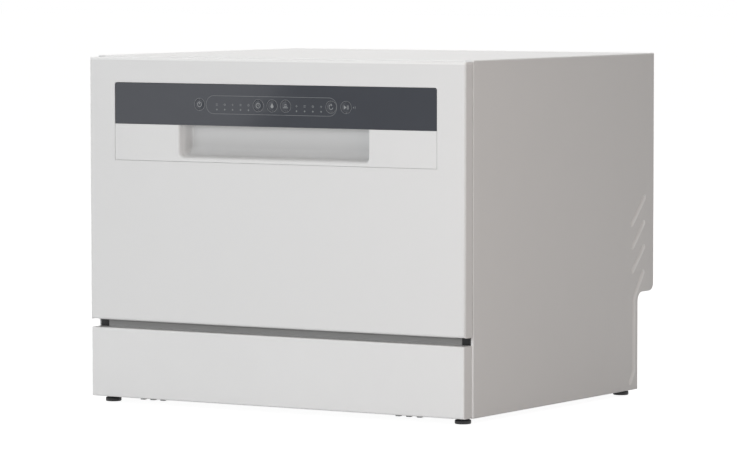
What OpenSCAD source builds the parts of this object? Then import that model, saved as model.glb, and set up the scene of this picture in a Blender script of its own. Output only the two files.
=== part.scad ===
// Countertop dishwasher with a drop-down door, drawn at real size in millimetres.
// X runs to the right, the door faces -Y, Z is up; the origin is under the middle.

/* [Cabinet] */
// Overall width over the side panels
width = 550; // [520:1:600]
// Overall depth, from the door's face to the tip of the drain spout
depth = 500; // [490:1:560]
// Overall height, from the surface to the top cover
height = 438; // [430:1:480]
// Door face to the rear edge of the side panels
panel_depth = 480; // [470:1:484]
// Thickness of the steel sheet
sheet = 1; // [0.8:0.1:1.2]
// Gap under the side panels
side_gap = 7; // [6:0.5:9]
// Gap under the kick plate and the base tray
base_gap = 8; // [7.5:0.5:10]
// Width of the folded edges of the side panels
fold_w = 12; // [9:1:13]
// Thickness of the top cover
top_t = 2; // [1.4:0.1:2.4]
// Thickness of moulded plastic walls
plastic_t = 2.5; // [2:0.1:3]

/* [Rear recess] */
// Depth of the hose recess at the bottom of the back
notch_d = 42.5; // [36:0.5:50]
// Height of the recess
notch_z = 131.5; // [124:0.5:140]
// Corner radius at the rear edge of the recess
notch_r = 10; // [6:1:14]
// Fillet radius inside the recess
notch_fillet = 12; // [8:1:16]

/* [Side beads] */
// Width of the pressed beads
bead_w = 9; // [6:0.5:10]
// Depth of the pressed beads
bead_d = 1.1; // [0.6:0.1:1.2]
// Length of one slanting bead
bead_len = 47; // [40:1:52]
// Height between one bead and the next
bead_pitch = 31; // [28:1:36]
// Height of the lowest slanting bead's lower end
bead_z = 158.5; // [152:0.5:164]
// Number of slanting beads above the long one
bead_count = 3; // [2:1:4]
// Distance from the recess edge to the long bead's upright run
bead_edge = 13; // [11:0.5:16]

/* [Door] */
// How far the door stands in front of the cabinet
door_stand = 19; // [18.6:0.1:22]
// Height of the door's lower edge
door_z = 105.4; // [104.5:0.1:106]
// Drop from the top cover to the door's top edge
door_drop = 2; // [1.5:0.1:4]
// Gap between the door's back and the cabinet front
door_gap = 1.5; // [1.4:0.1:2]
// Corner radius of the door's face
door_r = 3.5; // [2:0.5:5]
// How far the inner pan stands into the tub
pan_d = 27.5; // [24:0.5:28]
// Gap between the pan's sides and the tub walls
pan_side = 7; // [6:0.5:9]
// Height of the pan above the tub floor
pan_rise = 8; // [7:0.5:12]
// Gap between the pan's top and the tub ceiling
pan_drop = 10; // [9:0.5:14]

/* [Hinge] */
// Height of the hinge axis above the door's lower edge
hinge_up = 6.6; // [6.2:0.1:7]
// Distance of the hinge axis behind the door's face
hinge_in = 8.5; // [8:0.1:9]
// Radius of the hinge pin
hinge_pin_r = 3; // [2.5:0.1:3.2]
// Radius of the eye round the hinge pin
eye_r = 5.5; // [5:0.1:5.6]
// Running clearance round pins
run_clear = 0.05; // [0.03:0.01:0.09]
// Width of the hinge bracket
bracket_w = 12.5; // [11:0.5:13]
// Gap from the bracket to the side panel's outer face
bracket_edge = 3; // [2.5:0.1:3.5]

/* [Console] */
// Width of the console insert
console_w = 470; // [440:1:490]
// Height of the console insert
console_h = 97; // [92:1:100]
// Distance from the door's top to the console's top
console_top = 31.2; // [26:0.1:36]
// Height of the dark band
band_h = 51.6; // [46:0.1:56]
// Thickness of the band
band_t = 2; // [1.5:0.1:2.4]
// Width of the handle pocket
pocket_w = 278; // [200:1:300]
// Height of the handle pocket
pocket_h = 40; // [34:0.5:40]
// Depth of the handle pocket
pocket_d = 25; // [20:0.5:25]
// Corner radius of the handle pocket
pocket_r = 5; // [3:0.5:8]
// Wall of the console moulding
console_t = 4; // [3:0.1:4]
// Seam round the console
seam = 0.6; // [0.4:0.1:1]

/* [Keys] */
// Radius of a key cap
key_r = 6.5; // [5:0.1:7]
// Side gap round a key cap
key_gap = 0.3; // [0.2:0.05:0.4]
// Travel of a key
key_travel = 0.8; // [0.5:0.1:1]
// Height of the keys above the band's lower edge
key_up = 26.1; // [20:0.1:30]
// Distance of the power key from the middle
power_x = -107.4; // [-120:0.1:-100]
// Distance of the start key from the middle
start_x = 106.8; // [104:0.1:120]

/* [Tub] */
// Distance from a side panel's outer face to the tub's inner wall
tub_side = 40; // [36:0.5:44]
// Distance from the top of the cover to the tub's ceiling
tub_head = 26; // [25:0.5:34]
// Height of the tub floor above the hinge axis
tub_up = 0; // [0:0.5:2]
// Gap between the tub's back and the rear cover in the recess
tub_back = 0.4; // [0.3:0.1:6]
// Height of the roller ledges above the tub floor
ledge_up = 37.2; // [37:0.1:39]
// Width of the roller ledges
ledge_w = 21; // [18:1:24]

/* [Washing] */
// Middle of the sump from the front of the tub
sump_y = 208; // [200:1:215]
// Inner radius of the sump
sump_r = 74; // [70:1:78]
// Height of the sump's underside above the surface
sump_z = 50; // [44:1:56]
// Length of the spray arm from its axis to a tip
arm_len = 172; // [150:1:176]
// Width of the spray arm
arm_w = 40; // [32:1:48]
// Thickness of the spray arm
arm_t = 9; // [7:0.5:10]
// Radius of the spray arm's spindle
spindle_r = 10; // [8:0.5:11]
// Radius of the filter cup
filter_r = 24; // [20:0.5:25]
// Distance of the filter cup from the sump's middle
filter_x = 44; // [42:0.5:46]
// Radius of the salt tank's neck
salt_r = 24; // [20:0.5:26]
// Radius of the overfill float
float_r = 20; // [16:0.5:22]
// Travel of the overfill float
float_travel = 6; // [4:0.5:7]

/* [Pumps] */
// Radius of the circulation pump's chamber
pump_r = 36; // [30:1:36]
// Length of the circulation pump's chamber
pump_len = 26; // [24:1:30]
// Radius of the circulation pump's motor
motor_r = 30; // [26:1:32]
// Length of the circulation pump's motor
motor_len = 80; // [70:1:90]
// Radius of the drain pump's chamber
drain_pump_r = 24; // [20:1:26]
// Length of the drain pump's motor
drain_motor_len = 48; // [40:1:54]
// Radius of the pump shafts
shaft_r = 3; // [2.5:0.1:4]
// Radius of the flow heater
heater_r = 18; // [15:0.5:20]
// Length of the flow heater
heater_len = 120; // [100:1:130]

/* [Hoses and connectors] */
// Outer radius of the inner hoses
hose_r = 9; // [8:0.5:10]
// Wall of the inner hoses
hose_t = 2; // [1.5:0.1:2.5]
// Radius of the water inlet thread
inlet_r = 13.2; // [13:0.05:13.3]
// Length of the water inlet spout behind the recess wall
inlet_len = 26; // [22:1:34]
// Outer radius of the drain spout
spout_r = 11; // [9:0.5:12]
// Distance of the inlet spout from the side panel's outer face
inlet_in = 32; // [25:0.5:35]
// Distance of the drain spout from the middle
spout_x = -150; // [-170:1:-130]

/* [Basket] */
// Distance from the tub's wall to the basket's side wires
basket_side = 30; // [29:0.5:38]
// Gap from the door pan to the basket's front
basket_front = 30; // [30:1:36]
// Length of the basket
basket_len = 345; // [320:1:350]
// Height of the basket's floor above the tub floor
basket_up = 62; // [62:0.5:66]
// Height of the basket's walls
basket_h = 84; // [70:1:90]
// Radius of the basket's wires
wire_r = 2; // [1.6:0.1:2.2]
// Spacing of the basket's wires
wire_pitch = 30; // [26:1:40]
// Radius of the basket's rollers
roller_r = 10; // [9:0.5:10]
// Width of a roller
roller_w = 10; // [8:0.5:10]
// Gap between a roller and its ledge
roller_gap = 0.3; // [0.2:0.05:0.4]
// Distance of the front rollers behind the hinge axis
roller_front = 130; // [129:1:136]
// Distance between the front and the rear rollers
roller_base = 230; // [200:1:250]
// Height of the plate tines
tine_h = 60; // [45:1:66]
// Spacing of the plate tines
tine_pitch = 26; // [22:1:28]
// Number of plate tines in a row
tine_count = 7; // [5:1:8]
// Width of the cutlery basket
cutlery_w = 84; // [60:1:88]
// Length of the cutlery basket
cutlery_len = 100; // [80:1:120]
// Height of the cutlery basket
cutlery_h = 112; // [90:1:116]
// Reach of the folding cup shelf
shelf_w = 98; // [80:1:106]

/* [Dispenser] */
// Width of the dispenser's face
disp_w = 160; // [150:1:180]
// Height of the dispenser's face
disp_h = 94; // [86:1:100]
// Distance from the console's lower edge to the dispenser's upper edge
disp_drop = 3.8; // [2:0.1:12]
// Distance of the dispenser's right edge from the middle
disp_x = -5; // [-15:1:5]
// Width of the detergent cup
cup_w = 50; // [40:1:54]
// Height of the detergent cup
cup_h = 70; // [60:1:74]
// Depth of the detergent cup
cup_d = 20; // [14:1:22]

/* [Feet] */
// Radius of a foot pad
foot_r = 10; // [8:0.5:12]
// Radius of a foot's stud
stud_r = 4; // [3:0.5:5]
// Distance of the feet from the side panels' outer faces
foot_in = 18; // [17:0.5:25]
// Distance of the front feet behind the door's face
foot_front = 25; // [23:1:32]
// Distance of the rear feet from the recess wall
foot_rear = 13; // [13:1:24]

/* [Hidden] */
$fn = 48;

eps = 0.01;            // overshoot of a cut
touch = 0.3;           // gap between pieces that sit against each other
lever_gap = 2.8;       // gap between the strike and the latch lever
wire_gap = 0.2;        // gap between the basket's floor and what stands on it
hx = width / 2;
bead_back = 1.3;       // how far a bead shows on the inside of the panel
bead_lean = 44;        // slope of the slanting beads
front_y = -depth / 2;
cab_y = front_y + door_stand;
rear_y = front_y + panel_depth;
notch_y = rear_y - notch_d;
top_z = height - top_t;
cover_y = notch_y - 2 * sheet - 0.1;   // inner face of the rear cover in the recess
tip_y = depth / 2;

// door
door_back = cab_y - door_gap;
door_top = height - door_drop;
door_hw = hx - 0.5;
hinge_y = front_y + hinge_in;
hinge_z = door_z + hinge_up;
flange_back = hinge_y + 7;   // the lower flange stops here, so that its corner clears the rail

// tub
tub_z = hinge_z + tub_up;
tub_x = hx - tub_side;
tub_top = height - tub_head;
tub_back_y = cover_y - tub_back;
ledge_z = tub_z + ledge_up;
pan_y = door_back + pan_d;
pan_x = tub_x - pan_side;
pan_z0 = tub_z + pan_rise;
pan_z1 = tub_top - pan_drop;
flange_x = hx - fold_w - 1;  // outer edge of the tub's front flange
flange_z = height - 4;       // top edge of the tub's front flange

// the long bead's corners, from its lower end to its upper end
upright_y = notch_y - bead_edge;
long_bead = [[upright_y - 20, side_gap + 8.5], [upright_y - 7.5, side_gap + 13.5],
             [upright_y, side_gap + 25], [upright_y, notch_z - 9],
             [upright_y + 5, notch_z], [upright_y + 25, notch_z + 25]];

// rear screws
screw_x = hx - 7;
screw_z0 = notch_z + 40;
screw_z1 = top_z - 25;
screw_zs = [screw_z0, (screw_z0 + screw_z1) / 2, screw_z1];
screw_r = 1.7;

// hinge bracket, from its outer to its inner face
brk_x1 = hx - bracket_edge;
brk_x0 = brk_x1 - bracket_w;
brk_top = hinge_z + 16;
arm_x1 = brk_x0 - 2.5;
hinge_arm_t = 4;

// strike
strike_z = tub_top + 10;
strike_w = 20;
strike_t = 6;
strike_tip = cab_y + 19;
lever_y = cab_y + 34;
lever_t = 2.8;
lever_pin_r = 1.5;
lever_z = strike_z + strike_t / 2 + lever_t / 2 + lever_gap;
lock_half = 30;
lock_d = 42;
lock_room = strike_w / 2 + 6;        // half width of the lock's inside

// console and keys
con_z1 = door_top - console_top;
con_z0 = con_z1 - console_h;
band_z0 = con_z1 - band_h;
key_z = band_z0 + key_up;
middle_keys = [-20.6, -0.2, 19.5, 85.3];   // delay, dry, option and program
key_x = concat(power_x, middle_keys, start_x);
con_back = front_y + console_t;
stem_end = con_back + 5;
board_y = stem_end + key_travel + 0.2;
board_t = 1.6;
board_half = 126;
board_rise = 18;
dots_left = [-81.6, -69.9, -58.2, -46.5, -34.8];
dots_right = [35.4, 47.2, 59.1, 71];

// washing
sump_cy = cab_y + sump_y;
sump_wall = 2;
ledge_drop = 6;                      // the filter plate lies this far below the tub floor
plate_z = tub_z - ledge_drop;
filter_t = 1.2;
arm_z = tub_z + 14;
arm_turn = 20;                       // how the spray arm stands at rest
salt_x = -120;
salt_y = sump_cy - 98;
neck_top = tub_z + 4;
float_x = tub_x - 65;
float_y = cab_y + 61;
float_stem_r = 4;
float_z = tub_z + 6;

// base
tray_z = base_gap + 3;
tray_wall_z = base_gap + 40;
tray_y0 = front_y + 4;
tray_y1 = cover_y - touch;
boss_z = base_gap + 22;
boss_r = stud_r + 3;
post_w = 18;
pad_x = hx - 105;                    // the first of three pads under the tray's front edge
pad_h = 2.5;
foot_x = hx - foot_in;
foot_y0 = front_y + foot_front;
foot_y1 = notch_y - foot_rear;
kick_z1 = door_z - 9.9;
kick_x = hx - 2;
kick_t = 1.5;

// pumps
pump_x = sump_r + 18;
pump_z = sump_z + 22;
pump_wall = 3;
drain_x = -50;
drain_y = sump_cy + 84;
drain_len = 18;
heater_y = sump_cy + 112;
heater_x = 20;
heater_z = sump_z + 20;
inlet_x = hx - inlet_in;
inlet_z = 70;
valve_w = 32;
valve_d = 40;
spout_z = pump_z;
gland_x = -hx + 40;
gland_z = 64;
jacket_x0 = tub_x + 5;
jacket_x1 = hx - 7;
jacket_z = tub_z + 18;
jacket_h = 250;
jacket_y0 = cab_y + 120;
jacket_port_y = jacket_y0 + 15;      // the air chamber's port towards the sump
elbow_r = 25;
power_len = 90;
power_w = 60;
power_h = 34;
nipple_r = hose_r - hose_t - touch;  // what a hose is pushed over
nipple_bore = hose_r - hose_t - 2;
valve_port = [inlet_x + 6, notch_y - 27];
pump_port_x = pump_x + pump_len / 2;
heater_port_x = heater_x + 12;
spring_r = 7;
spring_wire = 1.2;
spring_turns = 10;
spring_pitch = 3.4;

// basket
basket_x = tub_x - basket_side;
bas_y0 = pan_y + basket_front;
bas_y1 = bas_y0 + basket_len;
bas_z = tub_z + basket_up;           // axis height of the floor wires
bas_top = bas_z + basket_h;
cross_wires = floor((basket_len - 20) / wire_pitch);
roll_z = ledge_z + roller_gap + roller_r;
roll_y0 = hinge_y + roller_front;
roll_y1 = roll_y0 + roller_base;
axle_r = 3;
axle_x0 = basket_x + wire_r;
roller_x0 = axle_x0 + 6;
cut_x0 = basket_x - wire_r - 6 - cutlery_w;
cut_y0 = bas_y0 + 10;
cut_z0 = bas_z + wire_r + touch;
wall_wire = 1.8;                     // half width of the walls' bars
wall_z0 = bas_z + wire_r + wire_gap;
side_y0 = bas_y0 + wall_wire + 0.6;
side_y1 = bas_y1 - wall_wire - 0.6;
side_n = 8;                          // spaces between a side wall's uprights
side_step = (side_y1 - side_y0 - 2 * wall_wire) / side_n;
tine_r = 1.7;
tine_x0 = -80;
tine_span = basket_len / cross_wires;   // each tine bridges two cross wires
tine_rows = [bas_y0 + 3 * tine_span, bas_y0 + 7 * tine_span];
shelf_x = -basket_x;
shelf_wire = 1.5;

// dispenser
disp_x0 = disp_x - disp_w;
disp_z0 = con_z0 - disp_drop - disp_h;
disp_t = 5;
cup_x0 = disp_x0 + 60;
cup_z0 = disp_z0 + 12;
disp_wall = 2;
rinse_r = 12.5;
rinse_x = disp_x - 24;
rinse_z = disp_z0 + 52;

// ---- small shapes ----

// a block from one corner to the opposite one
module block(a, b) {
    translate(a) cube(b - a);
}

// a flat outline in Y and Z, drawn out along X from x0 by t
module along_x(x0, t) {
    translate([x0, 0, 0]) rotate([90, 0, 90]) linear_extrude(t) children();
}

// a flat outline in X and Z, drawn out along Y from y0 by t
module along_y(y0, t) {
    translate([0, y0 + t, 0]) rotate([90, 0, 0]) linear_extrude(t) children();
}

// a rod or a hole along X, Y or Z, from its near end
module rod_x(p, len, r) {
    translate(p) rotate([0, 90, 0]) cylinder(h = len, r = r);
}

module rod_y(p, len, r) {
    translate(p) rotate([-90, 0, 0]) cylinder(h = len, r = r);
}

module rod_z(p, len, r) {
    translate(p) cylinder(h = len, r = r);
}

// square bars, for welded grilles, centred on the same line as a rod
module bar_x(p, len, r) {
    block(p - [0, r, r], p + [len, r, r]);
}

module bar_y(p, len, r) {
    block(p - [r, 0, r], p + [r, len, r]);
}

module bar_z(p, len, r) {
    block(p - [r, r, 0], p + [r, r, len]);
}

// a rectangle with round corners, from corner a to corner b
module round_rect(a, b, r) {
    translate([a[0] + r, a[1]]) square([b[0] - a[0] - 2 * r, b[1] - a[1]]);
    translate([a[0], a[1] + r]) square([b[0] - a[0], b[1] - a[1] - 2 * r]);
    for (x = [a[0] + r, b[0] - r], y = [a[1] + r, b[1] - r]) {
        translate([x, y]) circle(r);
    }
}

// a capsule between two points of an outline; its round ends are a hair narrower than
// its straight part, so that no edge only grazes another
module capsule(a, b, w) {
    len = norm(b - a);
    ang = atan2(b[1] - a[1], b[0] - a[0]);
    translate(a) rotate(ang) translate([0, -w / 2]) square([len, w]);
    for (p = [a, b]) {
        translate(p) circle(w / 2 - eps);
    }
}

module both_sides() {
    children();
    mirror([1, 0, 0]) children();
}

// ---- casing ----

// the cabinet's outline seen from the side, drawn in from its rear edges by inset
module side_outline(inset) {
    y0 = notch_y - inset;
    y1 = rear_y - inset;
    z0 = notch_z + inset;
    r = notch_r - inset;
    f = notch_fillet + inset;
    difference() {
        union() {
            translate([cab_y, side_gap]) square([y0 - cab_y, top_z - side_gap]);
            translate([y0 - 1, z0]) square([y1 - y0 + 1, top_z - z0]);
            difference() {
                translate([y0 - 1, z0 - f]) square([f + 1, f + 1]);
                translate([y0 + f, z0 - f]) circle(f);
            }
        }
        difference() {
            translate([y1 - r, z0 - 1]) square([r + 1, r + 1]);
            translate([y1 - r, z0 + r]) circle(r);
        }
    }
}

// the pressed beads: slanting ones, and a long one that runs down along the recess
module bead_lines(w) {
    for (i = [0 : bead_count - 1]) {
        start = [notch_y - bead_edge - 3.5, bead_z + i * bead_pitch];
        capsule(start, start + bead_len * [cos(bead_lean), sin(bead_lean)], w);
    }
    for (i = [0 : len(long_bead) - 2]) {
        capsule(long_bead[i], long_bead[i + 1], w);
    }
}

module side_panel() {
    difference() {
        union() {
            along_x(hx - sheet, sheet) side_outline(0);
            along_x(hx - sheet - bead_back, bead_back + eps) bead_lines(bead_w + 2 * bead_back);
            // front, rear and top folds
            block([hx - fold_w, cab_y, brk_top + 0.5], [hx - eps, cab_y + sheet, top_z]);
            block([hx - fold_w, rear_y - sheet, notch_z + notch_r], [hx - eps, rear_y, top_z]);
            block([hx - fold_w, cab_y, top_z - sheet], [hx - eps, rear_y, top_z]);
        }
        along_x(hx - bead_d, bead_d + 1) bead_lines(bead_w);
        screw_holes();
    }
}

module side_panel_right() {
    color([0.86, 0.85, 0.84]) side_panel();
}

module side_panel_left() {
    color([0.86, 0.85, 0.84]) mirror([1, 0, 0]) side_panel();
}

module top_cover() {
    color([0.92, 0.92, 0.91]) {
        block([-hx, cab_y, top_z], [hx, rear_y, height]);
        // stiffening folds between the side panels
        block([-hx + fold_w + 1, cab_y, flange_z + touch],
              [hx - fold_w - 1, cab_y + sheet, top_z]);
        block([-hx + fold_w + 1, rear_y - 4, top_z - 10], [hx - fold_w - 1, rear_y - 3, top_z]);
    }
}

module screw_holes() {
    for (z = screw_zs) {
        rod_y([screw_x, rear_y - 9, z], 12, screw_r + 0.2);
    }
}

module rear_cover() {
    x1 = hx - sheet - 2;
    low = tray_z + 2;
    color([0.80, 0.80, 0.79]) difference() {
        along_x(-x1, 2 * x1) intersection() {
            difference() {
                side_outline(sheet + 0.1);
                side_outline(2 * sheet + 0.1);
            }
            translate([notch_y - 5, low]) square([notch_d + 10, top_z - sheet - 1 - low]);
        }
        both_sides() screw_holes();
        rod_y([inlet_x, notch_y - 5, inlet_z], 10, inlet_r + 1);
        rod_y([spout_x, notch_y - 5, spout_z], 10, spout_r + 0.5);
        rod_y([gland_x, notch_y - 5, gland_z], 10, 8 + touch);
    }
}

module case_screws() {
    color([0.55, 0.55, 0.56]) both_sides() {
        for (z = screw_zs) {
            rod_y([screw_x, rear_y - 8, z], 8 + eps, screw_r);
            difference() {
                rod_y([screw_x, rear_y, z], 1.6, 4);
                block([screw_x - 3, rear_y + 1, z - 0.5], [screw_x + 3, rear_y + 2, z + 0.5]);
                block([screw_x - 0.5, rear_y + 1, z - 3], [screw_x + 0.5, rear_y + 2, z + 3]);
            }
        }
    }
}

module base_tray() {
    x0 = hx - sheet - bead_back - touch;
    x1 = kick_x - kick_t - touch;
    color([0.55, 0.56, 0.57]) difference() {
        union() {
            difference() {
                union() {
                    block([-x0, cab_y + 0.5, base_gap], [x0, tray_y1, tray_wall_z]);
                    block([-x1, tray_y0, base_gap], [x1, cab_y + 1, tray_wall_z]);
                }
                block([-x0 + plastic_t, cab_y + 0.5 + plastic_t, tray_z],
                      [x0 - plastic_t, tray_y1 - plastic_t, tray_wall_z + 1]);
                block([-x1 + plastic_t, tray_y0 + plastic_t, tray_z],
                      [x1 - plastic_t, cab_y + 5, tray_wall_z + 1]);
            }
            both_sides() {
                for (y = [foot_y0, foot_y1]) {
                    rod_z([foot_x, y, base_gap], boss_z - base_gap, boss_r);
                }
                for (y = [cab_y + 80, tray_y1 - 60]) {
                    block([tub_x - 40, y, tray_z - eps],
                          [tub_x - 40 + post_w, y + post_w, tub_z - sheet]);
                }
                for (i = [0 : 2]) {
                    block([pad_x + 15 * i, cab_y - 8, base_gap - pad_h],
                          [pad_x + 6 + 15 * i, cab_y - 2, base_gap + eps]);
                }
            }
            // cradles under the sump and the pump
            for (y = [sump_cy - 30, sump_cy + 24]) {
                block([-30, y, tray_z - eps], [-10, y + 6, sump_z]);
            }
            block([pump_x + 60, sump_cy - 4, tray_z - eps],
                  [pump_x + 68, sump_cy + 4, pump_z - motor_r]);
            block([heater_x + 90, heater_y - 4, tray_z - eps],
                  [heater_x + 98, heater_y + 4, heater_z - heater_r]);
            block([drain_x - 4, drain_y + 30, tray_z - eps],
                  [drain_x + 4, drain_y + 38, pump_z - drain_pump_r + 4]);
            block([salt_x - 8, salt_y - 8, tray_z - eps], [salt_x + 8, salt_y + 8, sump_z + 5]);
        }
        both_sides() {
            for (y = [foot_y0, foot_y1]) {
                rod_z([foot_x, y, base_gap - 1], boss_z, stud_r + run_clear);
            }
            // the hinge brackets stand in these openings
            block([brk_x0 - 0.5, cab_y - 0.5, boss_z], [hx, cab_y + 6, tray_wall_z + 1]);
        }
    }
}

module kick_plate() {
    color([0.87, 0.87, 0.87]) difference() {
        block([-kick_x, front_y, base_gap], [kick_x, cab_y - touch, kick_z1]);
        block([-kick_x + kick_t, front_y + kick_t, base_gap - 1],
              [kick_x - kick_t, cab_y, kick_z1 - kick_t]);
    }
}

module front_rail() {
    x1 = brk_x0 - touch;
    color([0.46, 0.47, 0.48]) {
        block([-x1, cab_y, kick_z1 - 8], [x1, cab_y + 2, tub_z - sheet]);
        block([-x1, cab_y, tub_z - sheet - 2], [x1, cab_y + 30, tub_z - sheet]);
        block([-x1, cab_y, kick_z1 - 8], [x1, cab_y + 12, kick_z1 - 6]);
    }
}

module hinge_bracket() {
    difference() {
        union() {
            block([brk_x0, cab_y, boss_z + touch], [brk_x1, cab_y + 5, brk_top]);
            block([brk_x0, hinge_y, hinge_z - eye_r], [brk_x1 - 1, cab_y + 1, hinge_z + eye_r]);
            rod_x([brk_x0, hinge_y, hinge_z], bracket_w - 1, eye_r);
        }
        rod_x([brk_x0 - 1, hinge_y, hinge_z], bracket_w + 2, hinge_pin_r + run_clear);
    }
}

module hinge_brackets() {
    color([0.12, 0.12, 0.12]) both_sides() hinge_bracket();
}

module foot() {
    rod_z([0, 0, 0], 5, foot_r);
    rod_z([0, 0, 5 - eps], base_gap - touch - 5 + eps, foot_r - 2);
    rod_z([0, 0, base_gap - 2], boss_z - base_gap - 2, stud_r);
}

module place_foot(sx, y) {
    color([0.10, 0.10, 0.10]) translate([sx * foot_x, y, 0]) foot();
}

module foot_front_left() {
    place_foot(-1, foot_y0);
}

module foot_front_right() {
    place_foot(1, foot_y0);
}

module foot_rear_left() {
    place_foot(-1, foot_y1);
}

module foot_rear_right() {
    place_foot(1, foot_y1);
}

// ---- tub ----

module tub() {
    t = sheet;
    color([0.72, 0.73, 0.74]) difference() {
        union() {
            difference() {
                block([-tub_x - t, cab_y + eps, tub_z - t],
                      [tub_x + t, tub_back_y, tub_top + t]);
                block([-tub_x, cab_y - 1, tub_z], [tub_x, tub_back_y - t, tub_top]);
            }
            // front flange round the opening
            difference() {
                block([-flange_x + touch, cab_y, tub_z - t], [flange_x - touch, cab_y + t, flange_z]);
                block([-tub_x, cab_y - 1, tub_z], [tub_x, cab_y + t + 1, tub_top]);
                both_sides() {
                    block([brk_x0 - touch, cab_y - 1, tub_z - 5],
                          [hx, cab_y + t + 1, brk_top + 0.5]);
                }
            }
            // roller ledges pressed into the side walls
            both_sides() {
                block([tub_x - ledge_w, pan_y + 5, ledge_z - t], [tub_x + eps, tub_back_y, ledge_z]);
                block([tub_x - ledge_w, pan_y + 5, ledge_z - 10],
                      [tub_x - ledge_w + t, tub_back_y, ledge_z]);
            }
            rod_z([float_x, float_y, tub_z - eps], 5, float_stem_r + 4);
        }
        rod_z([0, sump_cy, tub_z - 5], 10, sump_r);
        rod_z([salt_x, salt_y, tub_z - 5], 10, salt_r + touch);
        rod_z([float_x, float_y, tub_z - 5], 15, float_stem_r + run_clear);
        block([-strike_w / 2 - 6, cab_y - 1, strike_z - strike_t / 2 - 3],
              [strike_w / 2 + 6, cab_y + t + 1, strike_z + strike_t / 2 + 5]);
    }
}

module door_gasket() {
    x1 = tub_x - touch;
    x0 = pan_x + 0.6;
    color([0.20, 0.20, 0.21]) difference() {
        block([-x1, cab_y + 2, pan_z0 - 4], [x1, cab_y + 17, tub_top - touch]);
        block([-x0, cab_y + 1, pan_z0 - 5], [x0, cab_y + 18, pan_z1 + 4.6]);
    }
}

module sump() {
    z1 = tub_z - sheet;
    color([0.30, 0.31, 0.32]) difference() {
        union() {
            rod_z([0, sump_cy, sump_z], z1 - sump_z, sump_r + sump_wall);
            rod_z([0, sump_cy, z1 - 3], 3, sump_r + 6);
            // ports to the pumps and from the heater
            rod_x([0, sump_cy, pump_z], pump_x - touch, 12);
            rod_y([drain_x, sump_cy, pump_z], drain_y - sump_cy - touch, 10);
            rod_y([heater_port_x, sump_cy, heater_z], sump_r + 10, nipple_r);
        }
        difference() {
            rod_z([0, sump_cy, sump_z + sump_wall], 80, sump_r);
            // ledge under the filter plate
            difference() {
                rod_z([0, sump_cy, plate_z - 2], 2, sump_r + 1);
                rod_z([0, sump_cy, plate_z - 3], 4, sump_r - 4);
            }
        }
        rod_x([10, sump_cy, pump_z], pump_x, 9);
        rod_y([drain_x, sump_cy, pump_z], drain_y, 7);
        rod_y([heater_port_x, sump_cy, heater_z], 100, nipple_bore);
    }
}

module filter_plate() {
    color([0.66, 0.67, 0.68]) difference() {
        rod_z([0, sump_cy, plate_z], filter_t, sump_r - touch);
        rod_z([0, sump_cy, plate_z - 1], 4, 14.4);
        rod_z([filter_x, sump_cy, plate_z - 1], 4, filter_r + 0.4);
    }
}

module filter_cup() {
    z0 = sump_z + sump_wall + 8;
    z1 = plate_z + filter_t + touch;
    color([0.35, 0.36, 0.38]) {
        difference() {
            union() {
                rod_z([filter_x, sump_cy, z0], z1 - z0 + eps, filter_r);
                rod_z([filter_x, sump_cy, z1], 2, filter_r + 3);
            }
            rod_z([filter_x, sump_cy, z0 + 2], 80, filter_r - 1.5);
        }
        // grip across the mouth
        block([filter_x - filter_r, sump_cy - 3, z1], [filter_x + filter_r, sump_cy + 3, z1 + 7]);
    }
}

module spray_manifold() {
    color([0.62, 0.63, 0.64]) difference() {
        union() {
            rod_z([0, sump_cy, sump_z + sump_wall], arm_z - touch - sump_z - sump_wall, 14);
            rod_z([0, sump_cy, arm_z - 2], arm_t + 5, spindle_r);
            rod_z([0, sump_cy, arm_z + arm_t + 2 + touch], 3, spindle_r + 3);
        }
        rod_z([0, sump_cy, sump_z + sump_wall + 4], arm_z - sump_z - 8, 8);
    }
}

module arm_outline(w) {
    polygon([[0, -w / 2], [arm_len - w / 4, -w / 4], [arm_len - w / 4, w / 4], [0, w / 2],
             [-arm_len + w / 4, w / 4], [-arm_len + w / 4, -w / 4]]);
    for (s = [-1, 1]) {
        translate([s * (arm_len - w / 4), 0]) circle(w / 4);
    }
}

module spray_arm() {
    color([0.50, 0.51, 0.53]) translate([0, sump_cy, arm_z]) difference() {
        union() {
            rotate(arm_turn) linear_extrude(arm_t) arm_outline(arm_w);
            cylinder(h = arm_t + 2, r = spindle_r + 8);
        }
        translate([0, 0, -1]) cylinder(h = arm_t + 5, r = spindle_r + run_clear);
        difference() {
            translate([0, 0, 1.5]) rotate(arm_turn) linear_extrude(arm_t - 3) arm_outline(arm_w - 5);
            cylinder(h = arm_t, r = spindle_r + 4);
        }
        // spray holes
        rotate(arm_turn) for (s = [-1, 1], i = [0 : 3]) {
            translate([s * (42 + 36 * i), s * (i % 2 == 0 ? 5 : -4), arm_t - 3]) {
                cylinder(h = 5, r = 1.6);
            }
        }
    }
}

module salt_tank() {
    color([0.88, 0.88, 0.87]) difference() {
        union() {
            block([salt_x - 40, salt_y - 40, sump_z + 5], [salt_x + 40, salt_y + 40, tub_z - 8]);
            rod_z([salt_x, salt_y, tub_z - 9], neck_top - tub_z + 9, salt_r);
        }
        block([salt_x - 38, salt_y - 38, sump_z + 7], [salt_x + 38, salt_y + 38, tub_z - 10]);
        rod_z([salt_x, salt_y, tub_z - 20], 60, salt_r - 4);
    }
}

module salt_cap() {
    color([0.85, 0.86, 0.87]) {
        rod_z([salt_x, salt_y, neck_top + touch], 6, salt_r + 3);
        rod_z([salt_x, salt_y, neck_top - 8], 9, salt_r - 4 - run_clear);
        block([salt_x - salt_r, salt_y - 3, neck_top + 6], [salt_x + salt_r, salt_y + 3, neck_top + 9]);
    }
}

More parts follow.
